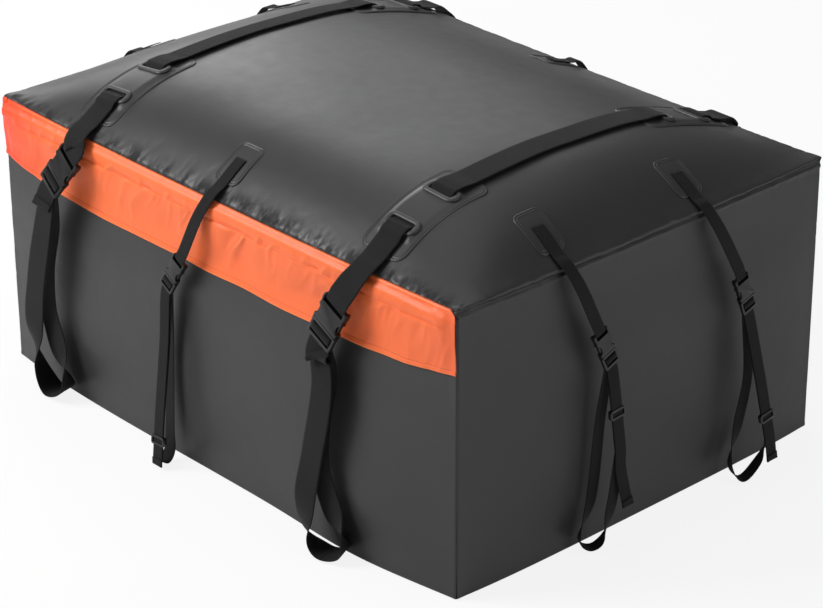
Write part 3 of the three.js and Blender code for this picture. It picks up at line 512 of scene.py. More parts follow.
def lid_detail(x, y):
    """The lid's place at each x and y: its seams pull in and it bulges over them."""
    right, left = LENGTH / 2 - x, LENGTH / 2 + x
    front, back = WIDTH / 2 + y, WIDTH / 2 - y
    z = SEAM + crown(x, y)
    puff = 4.6 + 2.0 * noise(y / 48, 0, 3) + 1.2 * noise(y / 17, 0, 4)
    dx = roll(right, puff, 5.0) - roll(left, 2.4) - 3.0 * (pinch(right, 2.4) - pinch(left))
    dy = roll(back, 2.4) - roll(front, 2.0) - 2.5 * pinch(back) + 0.6 * pinch(front, 1.2)
    for s, t, sag, deep in ((right, y / (WIDTH / 2), 9, 3.4), (left, y / (WIDTH / 2), 7, 3.4),
                            (front, x / (LENGTH / 2), 8, 1.3), (back, x / (LENGTH / 2), 7, 3.4)):
        z = z - deep * pinch(s, 2.0) - sag * (1 - np.abs(t) ** 2.5) * np.exp(-s / 16) + roll(s, 1.6, 9.0)
    gather = 0.15 + 0.85 * smooth(noise(x / 55, 0, 11) + 0.6)
    lean = x + 5 * noise(x / 23, front / 18, 14) + 0.35 * front * noise(x / 60, 0, 12)
    tuck = 0.5 + 0.5 * noise(x / 11, 0, 13)
    z = z - 8.0 * gather * np.exp(-front / (5 + 7 * tuck)) * creases(lean / 7.0, front / 22, 5, 2.4)
    z = z + 2.2 * gather * roll(front, 1.0, 5.0) * np.maximum(noise(lean / 8.5, front / 25, 6), 0)
    near = np.hypot(right, front)
    around = np.arctan2(front, right + 1e-6)
    z = z - 5.0 * pinch(near - 12, 15) * creases(around / 0.22, near / 35, 17, 3.0)
    z = z - 1.5 * np.exp(-front / 26) * creases(x / 24, front / 60, 7, 5.0)
    for s, along, seed, size in ((right, y, 21, 1.8), (left, y, 22, 1.6), (back, x, 23, 1.6)):
        z = z - size * np.exp(-s / 14) * creases(along / 17 + 0.03 * s, s / 50, seed, 5.0)
    nearest = np.minimum(np.minimum(right, left), np.minimum(front, back))
    return np.stack([x + dx, y + dy, z + 1.6 * noise(x / 150, y / 150, 31) * smooth(nearest / 120)], -1)


def make_lid():
    x, y = np.meshgrid(ALONG_LONG, ALONG_END)
    lid = grid_object("lid_panel_fabric", lid_detail(x, y), BAG)
    return place(lid, "bag", "bag_fabric", "lid_panel")


def wall_out(side, across, height, half, bulge):
    """How far a wall stands out from its flat face, seams aside."""
    corner = half - np.abs(across)
    out = bulge * (1 - (across / half) ** 4) * smooth((SEAM - ZIP_BAND - height) / BULGE_DEPTH)
    body = smooth(corner / 90) * smooth((SEAM - height) / 120) * smooth(height / 60)
    if side == "front":
        out = out + 11.0 * pinch(across - 370, 150) * smooth((330 - height) / 330)
    return out + 2.2 * noise(across / 210, height / 170, SEEDS[side]) * body


def wall_points(side, places, bulge):
    half = places[-1]
    across, height = np.meshgrid(places, HEIGHTS)
    corner = half - np.abs(across)
    top, seed = SEAM - height, SEEDS[side]
    out = wall_out(side, across, height, half, bulge)
    out = out + roll(top, 1.8) + 0.5 * roll(corner, 1.0) + roll(height, 0.8)
    out = out - 1.5 * pinch(corner, 1.5) - 1.8 * pinch(height, 1.6)
    if side != "front":
        # The seam allowance lies flat under the seam, and the wall puckers below it.
        band = 9.5 + 1.5 * noise(across / 60, 0, seed + 3)
        out = out - 2.2 * smooth((band + 2.5 - top) / 3) * smooth(top / 2)
        out = out + (2.0 + 1.0 * noise(across / 14, 0, seed + 4)) * pinch(top - band - 3.4, 2.4)
        out = out - 1.9 * np.exp(-top / 15) * creases(across / 16 + 0.02 * top, top / 55, seed + 1, 5.0)
    out = out - 0.7 * np.exp(-corner / 14) * creases(height / 26, corner / 40, seed + 2, 5.0)
    across = across - np.sign(across) * 1.5 * pinch(corner, 1.5)
    points = side_point(side, across, out, np.maximum(height, 0.4))
    rim = side_point(side, places, 0, 0)
    seam = lid_detail(rim[:, 0], rim[:, 1])
    return points + (seam - points[-1])[None] * np.exp(-top / 9)[..., None]


def make_walls():
    """The four walls, and the floor that closes them below."""
    rims = []
    for side, places, bulge in (("front", ALONG_LONG, LONG_BULGE), ("right", ALONG_END, END_BULGE),
                                ("back", ALONG_LONG, LONG_BULGE), ("left", ALONG_END, END_BULGE)):
        node = side + ("_end_wall" if side in ("right", "left") else "_wall")
        points = wall_points(side, places, bulge)
        place(grid_object(node + "_fabric", points, BAG), "bag", "bag_fabric", node)
        rims.append(points[0, :-1])
    rim = np.concatenate(rims)
    rings = []
    for share in (1.0, 0.998, 0.994, 0.985, 0.96, 0.9, 0.8, 0.65, 0.5, 0.35, 0.2, 0.08):
        ring = rim * [share, share, 1]
        ring[:, 2] = 0.4 * smooth((share - 0.985) / 0.015)
        rings.append(ring)
    points = np.array(rings)
    count = points.shape[1]
    faces = grid_faces(len(rings), count, wrap=True)
    faces.append([(len(rings) - 1) * count + i for i in range(count)])
    floor = make_object("floor_panel_fabric", points, faces, BAG)
    place(floor, "bag", "bag_fabric", "floor_panel")


make_lid()
make_walls()


# Routes of the webbing

class Route:
    """Stations along webbing: points of its middle line and the way across."""

    def __init__(self, points, wides):
        self.points = np.asarray(points, float).reshape(-1, 3)
        self.wides = np.asarray(wides, float).reshape(-1, 3)

    def __add__(self, other):
        return Route(np.concatenate([self.points, other.points]), np.concatenate([self.wides, other.wides]))

    def __getitem__(self, part):
        return Route(self.points[part], self.wides[part])

    def moved(self, by):
        return Route(self.points + by, self.wides)


def catmull(points, t):
    """A centripetal Catmull-Rom curve through points, at shares t of its spans."""
    p = np.asarray(points, float)
    p = np.concatenate([[2 * p[0] - p[1]], p, [2 * p[-1] - p[-2]]])
    at = np.asarray(t) * (len(p) - 3)
    i = np.minimum(at.astype(int), len(p) - 4)
    w = (at - i)[:, None]
    p0, p1, p2, p3 = p[i], p[i + 1], p[i + 2], p[i + 3]
    d0, d1, d2 = (np.maximum(np.linalg.norm(b - a, axis=1), 1e-8)[:, None] ** 0.5
                  for a, b in ((p0, p1), (p1, p2), (p2, p3)))
    d1 = np.where(d1 < 1e-3, 1.0, d1)
    d0 = np.where(d0 < 1e-3, d1, d0)
    d2 = np.where(d2 < 1e-3, d1, d2)
    m1 = ((p1 - p0) / d0 - (p2 - p0) / (d0 + d1) + (p2 - p1) / d1) * d1
    m2 = ((p2 - p1) / d1 - (p3 - p1) / (d1 + d2) + (p3 - p2) / d2) * d1
    return (p1 + m1 * w + (-3 * p1 + 3 * p2 - 2 * m1 - m2) * w ** 2 + (2 * p1 - 2 * p2 + m1 + m2) * w ** 3)


def curve_through(route, count):
    t = np.linspace(0, 1, count + 1)
    return Route(catmull(route.points, t), catmull(route.wides, t))


class Frame:
    """A frame on a strap: x across, y up along it, z out."""

    def __init__(self, side, low, high, origin):
        across = side_across(side)
        self.y = unit(high - low)
        self.x = unit(across - self.y * (across @ self.y))
        self.z = np.cross(self.x, self.y)
        self.origin = origin

    def stations(self, places):
        return Route([self.origin + self.y * y + self.z * z for y, z in places], [self.x] * len(places))


def female_length(size):
    return size["body"] + size["slot"] + size["bar"]


def male_length(size):
    return size["shoulder"] + size["window"] + size["bar"] + size["ladder"] + size["bar"]


def bezier(a, b, c, d, count):
    """Points on the curve from a to d that b and c pull out."""
    a, b, c, d = (np.array(v) for v in (a, b, c, d))
    s = np.linspace(0, 1, count)[:, None]
    return (1 - s) ** 3 * a + 3 * (1 - s) ** 2 * s * b + 3 * (1 - s) * s * s * c + s ** 3 * d


def hanging_strap(spec, side):
    """Frames of the buckle and keeper, and the webbing below the top seam in
    two parts: what hangs from the socket, and what hangs from the clip."""
    size = spec["size"]
    t = size["thickness"]
    across = side_across(side)

    def at(p):
        return side_point(side, spec["across"] + p[0], p[1], p[2])

    def hung(points):
        return Route([at(p) for p in points], [across] * len(points))

    # Over the socket's bar and down behind the buckle.
    top, foot = at(spec["top"]), at(spec["foot"])
    buckle = Frame(side, foot, top, top + unit(foot - top) * female_length(size))
    front = BAR_HALF + WEAVE + t / 2
    back = -(size["depth"] / 2 + WEAVE + t / 2)
    low = -male_length(size)
    bar_low = size["body"] + size["slot"]
    crossing = size["body"] + size["slot"] / 2
    above_bar = bar_low + size["bar"] + 15
    straight = [(y, front) for y in np.linspace(above_bar, bar_low, 8)]
    through = bezier((bar_low - 0.2, front), (crossing - t / 2, front),
                     (crossing + t / 2, back), (size["body"] - 0.6, back), 13)
    behind = [(y, back) for y in np.linspace(size["body"] - 2, low, 12)]
    upper = buckle.stations([*straight, *through, *behind])
    start = buckle.stations([(above_bar, front)])

    # Up behind the clip, over its middle bar, and out behind its end bar.
    leg = size["frame"] / 2 + WEAVE + t / 2
    deep = leg + t + 0.5
    bar_top = -size["shoulder"] - size["window"]
    middle_bar, end_bar = bar_top - size["bar"], low + size["bar"]
    reach = 0.5 * size["ladder"]
    into = buckle.stations([(low - 10, -deep), (low, -deep)])
    rise = [(y, -deep) for y in np.linspace(low, bar_top - 0.5, 7)[1:-1]]
    over = [(bar_top - 0.5 + leg * math.sin(v), (leg - deep) / 2 - (leg + deep) / 2 * math.cos(v))
            for v in np.linspace(0, math.pi, 15)]
    fall = [(y, leg) for y in np.linspace(bar_top - 0.5, middle_bar + 0.6, 4)[1:-1]]
    dip = bezier((middle_bar + 0.6, leg), (middle_bar - reach, leg),
                 (end_bar + reach, -leg), (end_bar - 0.6, -leg), 15)
    around = buckle.stations([*rise, *over, *fall, *dip])
    out_of = buckle.stations([(low, -leg), (low - 10, -leg)])

    # The loop below, turned a little to face the way it bends.
    turn = at(spec["loop"][0]) - at(spec["loop"][2])
    turn[2] = 0
    turn = unit(turn)
    wide = np.array([-turn[1], turn[0], 0])
    wide = wide * np.sign(wide @ across)
    loop = Route([at(p) for p in spec["loop"]],
                 [unit(across + (wide - across) * v) for v in spec.get("twist", (1, 1, 1))])[::-1]
    inner = hung(spec["inner"])[::-1]
    end = hung(spec["tail"])
    if "keeper" not in spec:
        above = hung(spec["outer"])[::-1]
        hanging = curve_through(upper[-1:] + inner + loop + above + into, 240)
        return buckle, None, upper, hanging[1:], around + curve_through(out_of + end, 30), start

    # The webbing runs straight for as far as the keeper slides.
    gauge = t / 2 + WEAVE / 2
    centre, height = at(spec["keeper"]), spec["keeper"][2]
    higher = [at(p) for p in spec["outer"] if p[2] > height] or list(buckle.stations([(low, 0)]).points)
    keeper = Frame(side, centre, higher[-1], centre)
    down, up = (KEEPER_LENGTH / 2 + 2 + travel for travel in spec["travel"])
    above = hung([p for p in spec["outer"] if p[2] > height + up + CURVE_ROOM])[::-1]
    below = hung([p for p in spec["outer"] if p[2] < height - down - CURVE_ROOM])[::-1]
    under, outer = (keeper.stations([(-down, z), (up, z)]) for z in (-gauge, gauge))
    clear = side_out(side) * (2 * gauge + 1.5)
    hanging = curve_through(upper[-1:] + inner + loop + below + under[:1], 200)
    to_ladder = curve_through(under[1:] + above + into, 50)
    to_keeper = curve_through(out_of + above.moved(clear)[::-1] + outer[1:], 50)
    tail = curve_through(outer[:1] + end, 40)
    return buckle, keeper, upper, hanging[1:], to_ladder + around + to_keeper + tail, start


def on_lid(side, across, inward, offset):
    origin, x, _, _ = lid_frame(side, across, inward, offset)
    return Route(origin, np.broadcast_to(x, origin.shape))


def over_seam(spec, side, start, lift):
    wide = side_across(side)
    goal = start.points[0]
    middle = side_point(side, spec["across"], FLAP_STAND, SEAM) * 0.7 + goal * 0.3
    middle[2] = SEAM + (goal[2] - SEAM) * 0.3
    rim = side_point(side, spec["across"], 3, SEAM + lift + 2)
    route = on_lid(side, spec["across"], [16.0], lift + 0.5) + Route([rim, middle], [wide, wide]) + start
    return curve_through(route, 28)


SMALL_LIFT = ON_CURVE + 1.2 + WEAVE + NARROW["thickness"] / 2
STRAP_START = SMALL_PATCH["far"] - 32
WIDE_LIFT = ON_CURVE + WIDE["thickness"] / 2
WIDE_OVER_PATCH = SLOT_TOP + WEAVE + WIDE["thickness"] / 2
WIDE_OVER_FRAME = WIDE_OVER_PATCH + SLOT_FRAME["height"] + 2 * WEAVE


def wide_lift(inward):
    """Height of a wide strap over the lid at each distance in from the seam."""
    first, last = SLOT_CENTRES
    half, edge, dive = SLOT_LENGTH / 2, SLOT_FRAME["depth"] / 2, SLOT_LENGTH + 0.5
    frame_rise, patch_rise = WIDE_OVER_FRAME - WIDE_LIFT, WIDE_OVER_FRAME - WIDE_OVER_PATCH
    steps = ((first - edge - 12, 10, patch_rise), (first - half - 1, dive, -frame_rise),
             (last - half + 0.5, dive, frame_rise), (last + edge + 2, 40, -patch_rise))
    return WIDE_OVER_PATCH + sum(rise * smooth((inward - begin) / run) for begin, run, rise in steps)


def wide_on_lid(side, across, middle):
    first, last = SLOT_CENTRES
    inward = np.concatenate([np.arange(28, last + 32, 2.0), np.linspace(last + 32, WIDTH / 2 - 1, 50)])
    free = last + SLOT_FRAME["depth"]
    drift = across + (middle - across) * smooth((inward - free) / (WIDTH / 2 - free))
    return on_lid(side, drift, inward, wide_lift(inward))


# Webbing

def section(size):
    """Outline of the webbing: flat faces and round selvedges."""
    w, t = size["webbing"] / 2, size["thickness"] / 2
    inner = [-0.86, -0.55, -0.2, 0.2, 0.55, 0.86]
    face = [(w * k, t * (1 - 0.12 * (abs(k) > 0.8))) for k in inner]
    edge = [(w - 0.25 * t, 0.72 * t), (w, 0.0), (w - 0.25 * t, -0.72 * t)]
    under = [(a, -b) for a, b in reversed(face)]
    return np.array(face + edge + under + [(-a, -b) for a, b in edge])


def frames_along(route):
    p = route.points
    before = np.concatenate([p[:1], p[:-1]])
    after = np.concatenate([p[1:], p[-1:]])
    along = unit(after - before)
    square = unit(route.wides - along * np.sum(route.wides * along, 1, keepdims=True))
    return along, square, np.cross(along, square)


def tidy(route, least=0.35):
    """Leaves out stations that lie almost on the one before."""
    kept = [0]
    for i in range(1, len(route.points)):
        if np.linalg.norm(route.points[i] - route.points[kept[-1]]) > least:
            kept.append(i)
    return route[kept]


def run_along(points):
    """Length along a line at each of its points."""
    return np.concatenate([[0], np.cumsum(np.linalg.norm(np.diff(points, axis=0), axis=1))])


def at_length(lengths, run, values):
    """Values given at each point of a line, at other lengths along it."""
    return np.stack([np.interp(lengths, run, values[:, i]) for i in range(3)], -1)


def ribbon(name, route, size):
    route = tidy(route)
    _, square, thick = frames_along(route)
    outline = section(size)
    points = (route.points[:, None] + square[:, None] * outline[None, :, :1] + thick[:, None] * outline[None, :, 1:])
    length = run_along(route.points)
    uv = np.stack(np.broadcast_arrays(outline[None, :, 0] * MM, length[:, None] * MM), -1)
    return make_object(name, points, tube_faces(*points.shape[:2]), WEBBING, uv)


def hemmed(route, size):
    """The route with its end folded back on the outside."""
    along, _, thick = frames_along(route)
    d, n = along[-1], thick[-1]
    end = route.points[-1]
    r = size["thickness"] / 2 + 0.15
    turn = [end + r * (math.sin(v) * d + (1 - math.cos(v)) * n) for v in np.linspace(0, math.pi, 7)[1:]]
    more = turn + [turn[-1] - d * s for s in np.linspace(0, HEM, 6)[1:]]
    return route + Route(more, [route.wides[-1]] * len(more))


# Stitches

def stitch_mesh(name, rows, material=THREAD, pitch=3.6, length=2.7, thick=0.42):
    """Rows of stitches as one mesh; a row is (points, ways out of the cloth)."""
    points, faces = [], []
    for line, normals in rows:
        run = run_along(line)
        count = max(1, int(run[-1] / pitch))
        for k in range(count):
            middle = (k + 0.5) * run[-1] / count
            ends = at_length([middle - length / 2, middle + length / 2], run, line)
            n = unit(at_length(middle, run, normals))
            d = unit(ends[1] - ends[0])
            side = np.cross(n, d)
            c = (ends[0] + ends[1]) / 2
            base = len(points)
            points += [ends[0] - n * 0.1, ends[1] - n * 0.1]
            points += [c + d * length * q + side * u * thick / 2 + n * v * thick / 2
                       for q in (-0.28, 0.28) for u, v in ((1, 0), (0, 1), (-1, 0), (0, -0.6))]
            near, far = base + 2, base + 6
            for j, k2 in ((0, 1), (1, 2), (2, 3), (3, 0)):
                faces += [[base, near + k2, near + j], [base + 1, far + j, far + k2],
                          [near + j, near + k2, far + k2, far + j]]
    return make_object(name, np.array(points), faces, material)


def strap_face(route, size, pairs):
    """Points on a strap's outer face from (across, length along) pairs."""
    _, square, thick = frames_along(route)
    run = run_along(route.points)
    points, ways, n = (at_length(pairs[:, 1], run, values) for values in (route.points, square, thick))
    n = unit(n)
    return points + ways * pairs[:, :1] + n * (size["thickness"] / 2 + STITCH_LIFT), n


def line_pairs(a, b):
    s = np.linspace(0, 1, 12)[:, None]
    return np.array(a) * (1 - s) + np.array(b) * s


def box_stitches(route, size, low, high):
    """A stitched box with a cross in it, between two lengths along a strap."""
    w = size["webbing"] / 2 - 2.6
    corners = [(-w, low), (w, low), (w, high), (-w, high)]
    return [strap_face(route, size, line_pairs(corners[i], corners[j]))
            for i, j in ((0, 1), (1, 2), (2, 3), (3, 0), (0, 2), (1, 3))]


# Fittings

def refined(name, node, material, body, slot, bevel=0.45):
    """A copy of a solid with its edges softened as moulding leaves them."""
    source = frame["nodes"][node]
    bm = bmesh.new()
    bm.from_mesh(source.data)
    bmesh.ops.remove_doubles(bm, verts=bm.verts, dist=2e-6)
    bmesh.ops.dissolve_limit(bm, angle_limit=math.radians(1.5), verts=bm.verts, edges=bm.edges)
    mesh = bpy.data.meshes.new(name)
    bm.to_mesh(mesh)
    bm.free()
    mesh.materials.append(material)
    mesh.shade_smooth()
    obj = linked(name, mesh)
    soften = obj.modifiers.new("soften", "BEVEL")
    soften.width = bevel * MM
    soften.segments = 2
    soften.limit_method = "ANGLE"
    soften.angle_limit = math.radians(32)
    soften.harden_normals = True
    soften.use_clamp_overlap = True
    return place(obj, body, slot, node)


def strap_pieces(name, spec, side):
    """Fittings and the loose part of one hanging strap, and its fixed route."""
    size = spec["size"]
    buckle, keeper, upper, hanging, free, start = hanging_strap(spec, side)
    refined(name + "_socket", name + "_buckle_female", BUCKLE, "bag", "buckle_plastic")
    refined(name + "_clip_body", name + "_buckle_male", BUCKLE, name + "_clip", "buckle_plastic", 0.4)
    lowest = int(np.argmin(hanging.points[:, 2]))
    if keeper is None:
        begin = hanging.points[lowest].copy()
        begin[2] = 10.0
    else:
        refined(name + "_keeper_loop", name + "_keeper", BUCKLE, name + "_keeper", "buckle_plastic", 0.5)
        begin = keeper.stations([(KEEPER_LENGTH / 2 + BLEND_START, 0.0)]).points[0]
    goal = buckle.stations([(-male_length(size), 0)]).points[0]
    loose = hemmed(tidy(hanging[lowest:] + free), size)
    strap = ribbon(name + "_loose_webbing", loose, size)
    edge = size["webbing"] / 2 - 3
    rows = [strap_face(loose[-6:], size, line_pairs((-edge, HEM - 4), (edge, HEM - 4)))]
    sewn = stitch_mesh(name + "_hem_stitches", rows)
    for piece in (strap, sewn):
        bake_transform(piece)
    return upper + hanging[:lowest + 1], start


# Patches

def weld_relief(d):
    """Height of a patch over its cloth: a thin edge and two raised weld lines."""
    edge = smooth(d / 0.9)
    line = pinch(d - 2.2, 0.55) + pinch(d - WELD, 0.6)
    return 1.1 * edge + 0.75 * line


def patch_lines(half, count, *needed):
    """Lines over a patch, close together at its welds, some at needed places."""
    welds = (-half + 1.5, half - 1.5, -half + WELD, half - WELD)
    close = [np.arange(v - 2.0, v + 2.0 + 1e-6, 0.45) for v in welds]
    lines = np.concatenate([np.linspace(-half, half, count), *close, needed])
    return np.unique(np.clip(np.round(lines, 3), -half, half))


def patch_halves(size):
    return size["width"] / 2, (size["far"] - size["near"]) / 2 - 1


def patch_shape(size, lines_a, lines_b):
    """Places over a patch with round corners, and its height over the lid there."""
    corner = size["corner"]
    insets = [half - corner for half in patch_halves(size)]
    places = np.meshgrid(lines_a, lines_b)
    past = [np.abs(v) - inset for v, inset in zip(places, insets)]
    inside = (past[0] > 0) & (past[1] > 0)
    scale = np.where(inside, np.maximum(*past) / np.maximum(np.hypot(*past), 1e-9), 1.0)
    a, b = (np.where(inside, np.sign(v) * (inset + q * scale), v) for v, inset, q in zip(places, insets, past))
    qa, qb = np.abs(a) - insets[0], np.abs(b) - insets[1]
    rim = corner - np.hypot(np.maximum(qa, 0), np.maximum(qb, 0)) - np.minimum(np.maximum(qa, qb), 0)
    return a, b, 0.15 + weld_relief(rim)


def patch_points(side, across, size, a, b, lift):
    origin, _, _, z = lid_frame(side, across + a, (size["far"] + size["near"]) / 2 + b)
    return origin + z * lift[..., None]


def small_patch(name, side, across):
    half_w, half_l = patch_halves(SMALL_PATCH)
    shape = patch_shape(SMALL_PATCH, patch_lines(half_w, 16), patch_lines(half_l, 16))
    patch = grid_object(name + "_patch_fabric", patch_points(side, across, SMALL_PATCH, *shape), PATCH)
    return place(patch, "bag", "bag_fabric", name + "_patch")


def narrow_straps():
    for spec in (s for s in STRAPS if s["size"] is NARROW):
        for side in spec["sides"]:
            name = side + "_" + spec["label"]
            small_patch(name, side, spec["across"])
            fixed, start = strap_pieces(name, spec, side)
            sewn = on_lid(side, spec["across"], np.arange(STRAP_START, 24, -3.0), SMALL_LIFT)
            over = over_seam(spec, side, start, SMALL_LIFT)
            route = tidy(sewn + over[:-1] + fixed)
            strap = ribbon(name + "_webbing", route, NARROW)
            place(strap, "bag", "webbing", name + "_strap")
            rows = box_stitches(route, NARROW, 3.0, 34.0)
            place(stitch_mesh(name + "_box_stitches", rows), "bag", "webbing")


# A slot frame's outline: share of the way out from the slot, and height.
SLOT_PROFILE = ((0.0, -0.6), (0.0, 1.6), (0.1, 2.7), (0.25, 3.3), (0.5, 3.4), (0.72, 3.1), (0.86, 2.4),
                (0.96, 1.2), (1.0, 0.0), (1.0, -0.6))


def slot_frame_mesh(name, side, across, inward):
    """A moulded frame: a rounded bar that runs round its slot."""
    count = 88
    v = 2 * np.pi * (np.arange(count) + 0.5) / count
    c, s = np.cos(v), np.sin(v)
    slot_w, slot_d = WIDE["webbing"] + 3.2, SLOT_LENGTH - 0.6
    turns = []
    for share, height in SLOT_PROFILE:
        corner = 4.5 + share * 9.5
        half_a = slot_w / 2 + share * (SLOT_FRAME["width"] - slot_w) / 2 - corner
        half_b = slot_d / 2 + share * (SLOT_FRAME["depth"] - slot_d) / 2 - corner
        turns.append(np.stack([np.copysign(half_a, c) + corner * c, np.copysign(half_b, s) + corner * s,
                               np.full(count, height)], -1))
    shape = np.array(turns)
    origin, x, y, z = lid_frame(side, across, inward, SLOT_TOP)
    points = origin + shape[..., :1] * x + shape[..., 1:2] * y + shape[..., 2:] * z
    return make_object(name, points, grid_faces(len(turns), count, wrap=True), RING)


def slot_patch(name, side, across):
    """A long patch with two slots; it bulges where the strap runs beneath."""
    half_w, half_l = patch_halves(SLOT_PATCH)
    centre = (SLOT_PATCH["far"] + SLOT_PATCH["near"]) / 2
    first, last = (c - centre for c in SLOT_CENTRES)
    hole = WIDE["webbing"] / 2 + 1.8
    lines_a = patch_lines(half_w, 27, -hole, hole)
    lines_b = patch_lines(half_l, 60, *(c + s * SLOT_LENGTH / 2 for c in (first, last) for s in (-1, 1)))
    a, b, lift = patch_shape(SLOT_PATCH, lines_a, lines_b)
    over = smooth((first - 26 - b) / -14) * smooth((last + 26 - b) / 14) * smooth((44 - np.abs(a)) / 12)
    points = patch_points(side, across, SLOT_PATCH, a, b, lift + (SLOT_TOP - 1.3) * over)
    middle_a, middle_b = ((v[:-1] + v[1:]) / 2 for v in (lines_a, lines_b))
    in_slot = np.minimum(np.abs(middle_b - first), np.abs(middle_b - last)) < SLOT_LENGTH / 2
    slots = in_slot[:, None] & (np.abs(middle_a) < hole)
    faces = [face for face, cut in zip(grid_faces(*a.shape), slots.ravel()) if not cut]
    patch = make_object(name + "_patch_fabric", points, faces, PATCH)
    place(patch, "bag", "slot_patch", name + "_patch")
    for label, inward in zip(("outer", "inner"), SLOT_CENTRES):
        ring = slot_frame_mesh(f"{name}_{label}_slot_frame", side, across, inward)
        place(ring, "bag", "slot_patch")


def wide_straps():
    right, left = (s for s in STRAPS if s["size"] is WIDE)
    for hand, front_spec, back_spec in (("right", right, left), ("left", left, right)):
        middle = (front_spec["across"] - back_spec["across"]) / 2
        ends = []
        for side, spec, aim in (("front", front_spec, middle), ("back", back_spec, -middle)):
            name = side + "_" + hand
            fixed, start = strap_pieces(name, spec, side)
            slot_patch(name, side, spec["across"])
            over = over_seam(spec, side, start, WIDE_OVER_PATCH)
            ends.append(wide_on_lid(side, spec["across"], aim)[::-1] + over[:-1] + fixed)
        to_front, to_back = ends
        route = to_front[::-1] + Route(to_back.points, -to_back.wides)
        strap = ribbon("wide_strap_" + hand + "_webbing", route, WIDE)
        place(strap, "bag", "webbing", "wide_strap_" + hand)


narrow_straps()
wide_straps()


# Storm flap

FLAP_REACH = ((-600, 110), (-560, 118), (-480, 131), (-420, 135), (-300, 141), (-100, 141), (200, 140), (400, 135),
              (500, 128), (600, 114))


def folds(along, down, seed):
    """Crumpled folds: warped ridges of a few widths that run mostly downwards."""
    along = along + 9 * noise(along / 45, down / 40, seed + 1)
    wide = np.abs(noise(along / 40, down / 100, seed + 2))
    mid = np.abs(noise(along / 19, down / 60, seed + 3))
    return 4.2 * (0.4 - wide) + 1.5 * (0.4 - mid)


def flap_points(columns=520, rows=72):
    """The flap's outer face: casing along the seam, gathers below, a hem."""
    x, v = np.meshgrid(np.linspace(-LENGTH / 2, LENGTH / 2, columns + 1), np.linspace(0, 1, rows + 1))
    end = LENGTH / 2 - np.abs(x)
    reach = np.interp(x, *np.transpose(FLAP_REACH)) + 1.6 * noise(x / 90, 0, 61)
    round_right = np.where(x > 0, 18 * (1 - np.sqrt(1 - np.clip(1 - end / 18, 0, 1) ** 2)), 0)
    drop = round_right + v * (reach - round_right)
    sag = 8.0 * (1 - np.abs(x / (LENGTH / 2)) ** 2.5) * np.exp(-drop / 40)
    height = SEAM - 1.0 - drop - sag
    stand = 10.0 * np.sin(math.pi / 2 * np.minimum(drop / 25.0, 1)) ** 1.7
    stand = stand * (0.35 + 0.65 * smooth(end / 26))
    line = 35 + 1.5 * noise(x / 45, 0, 69)
    casing = pinch(drop - line, 2.2)
    below = smooth((drop - line) / 8)
    fade = 0.3 + 0.7 * np.exp(-np.maximum(drop - line, 0) / 42)
    slant = x + 0.42 * drop
    free = smooth(end / 20) * smooth(drop / 12)
    out = stand + FLAP_THICK - (1.1 + 0.7 * noise(x / 13, 0, 70)) * casing * free
    out = out + (1.5 * below * fade * folds(slant, drop, 71) + 1.1 * (1 - below) * folds(slant, drop, 81)) * free
    out = out + 2.6 * below * noise(slant / 60, drop / 120, 66) * smooth((drop - 33) / 60) * free
    out = out - 5.0 * smooth((drop - 50) / 60) * (1 - 0.3 * noise(x / 90, 0, 67))
    under = wall_out("front", x, height, LENGTH / 2, LONG_BULGE)
    lift = 1.8 + 0.9 * np.exp(-(reach - drop) / 5)
    out = under + lift + np.logaddexp(0, (out - under - lift) / 1.2) * 1.2
    corner = np.where(x < 0, pinch(end - 12, 2.4) * smooth((20 - drop) / 8), 0)
    out = out - 3.0 * corner
    # Room for the slider and its pull to pass along the zip.
    room = ZIP_ROOM * np.exp(-(((height - ZIP_HEIGHT) / 13) ** 4)) * smooth((x + 598) / 5) * smooth((560 - x) / 12)
    out = room + np.logaddexp(0, (out - room) / 0.8) * 0.8
    out = out - 0.7 * pinch(reach - drop - 9, 0.9) + 0.5 * smooth((9 + drop - reach) / 3)
    out = out + roll(drop, 0.9, 2.5) - 2.4 * pinch(drop, 1.5)
    return side_point("front", x - np.sign(x), out, height)


def make_flap():
    points = flap_points()
    rows, columns = points.shape[:2]
    out = side_out("front")
    both = np.concatenate([points, (points + out * -0.9)[::-1]])
    faces = grid_faces(2 * rows, columns, flip=True)
    last = (2 * rows - 1) * columns
    faces += [[last + i, last + i + 1, i + 1, i] for i in range(columns - 1)]
    for j in range(rows - 1):
        a, c = j * columns, (2 * rows - 1 - j) * columns
        b, d = a + columns, c - columns
        faces += [[c, d, b, a], [v + columns - 1 for v in (a, b, d, c)]]
    flap = make_object("storm_flap_fabric", both, faces, FLAP)
    place(flap, "bag", "flap_fabric", "storm_flap")
    line = points[round((1 - 8.5 / 130) * (rows - 1))] + out * 0.15
    rows_of = [(line, np.broadcast_to(out, line.shape))]
    stitches = stitch_mesh("flap_hem_stitches", rows_of, SEAM_THREAD, 4.2, 3.0, 0.4)
    place(stitches, "bag", "flap_fabric")


# Zip

def zip_point(x, up, out):
    return side_point("front", x, out, ZIP_HEIGHT + up)


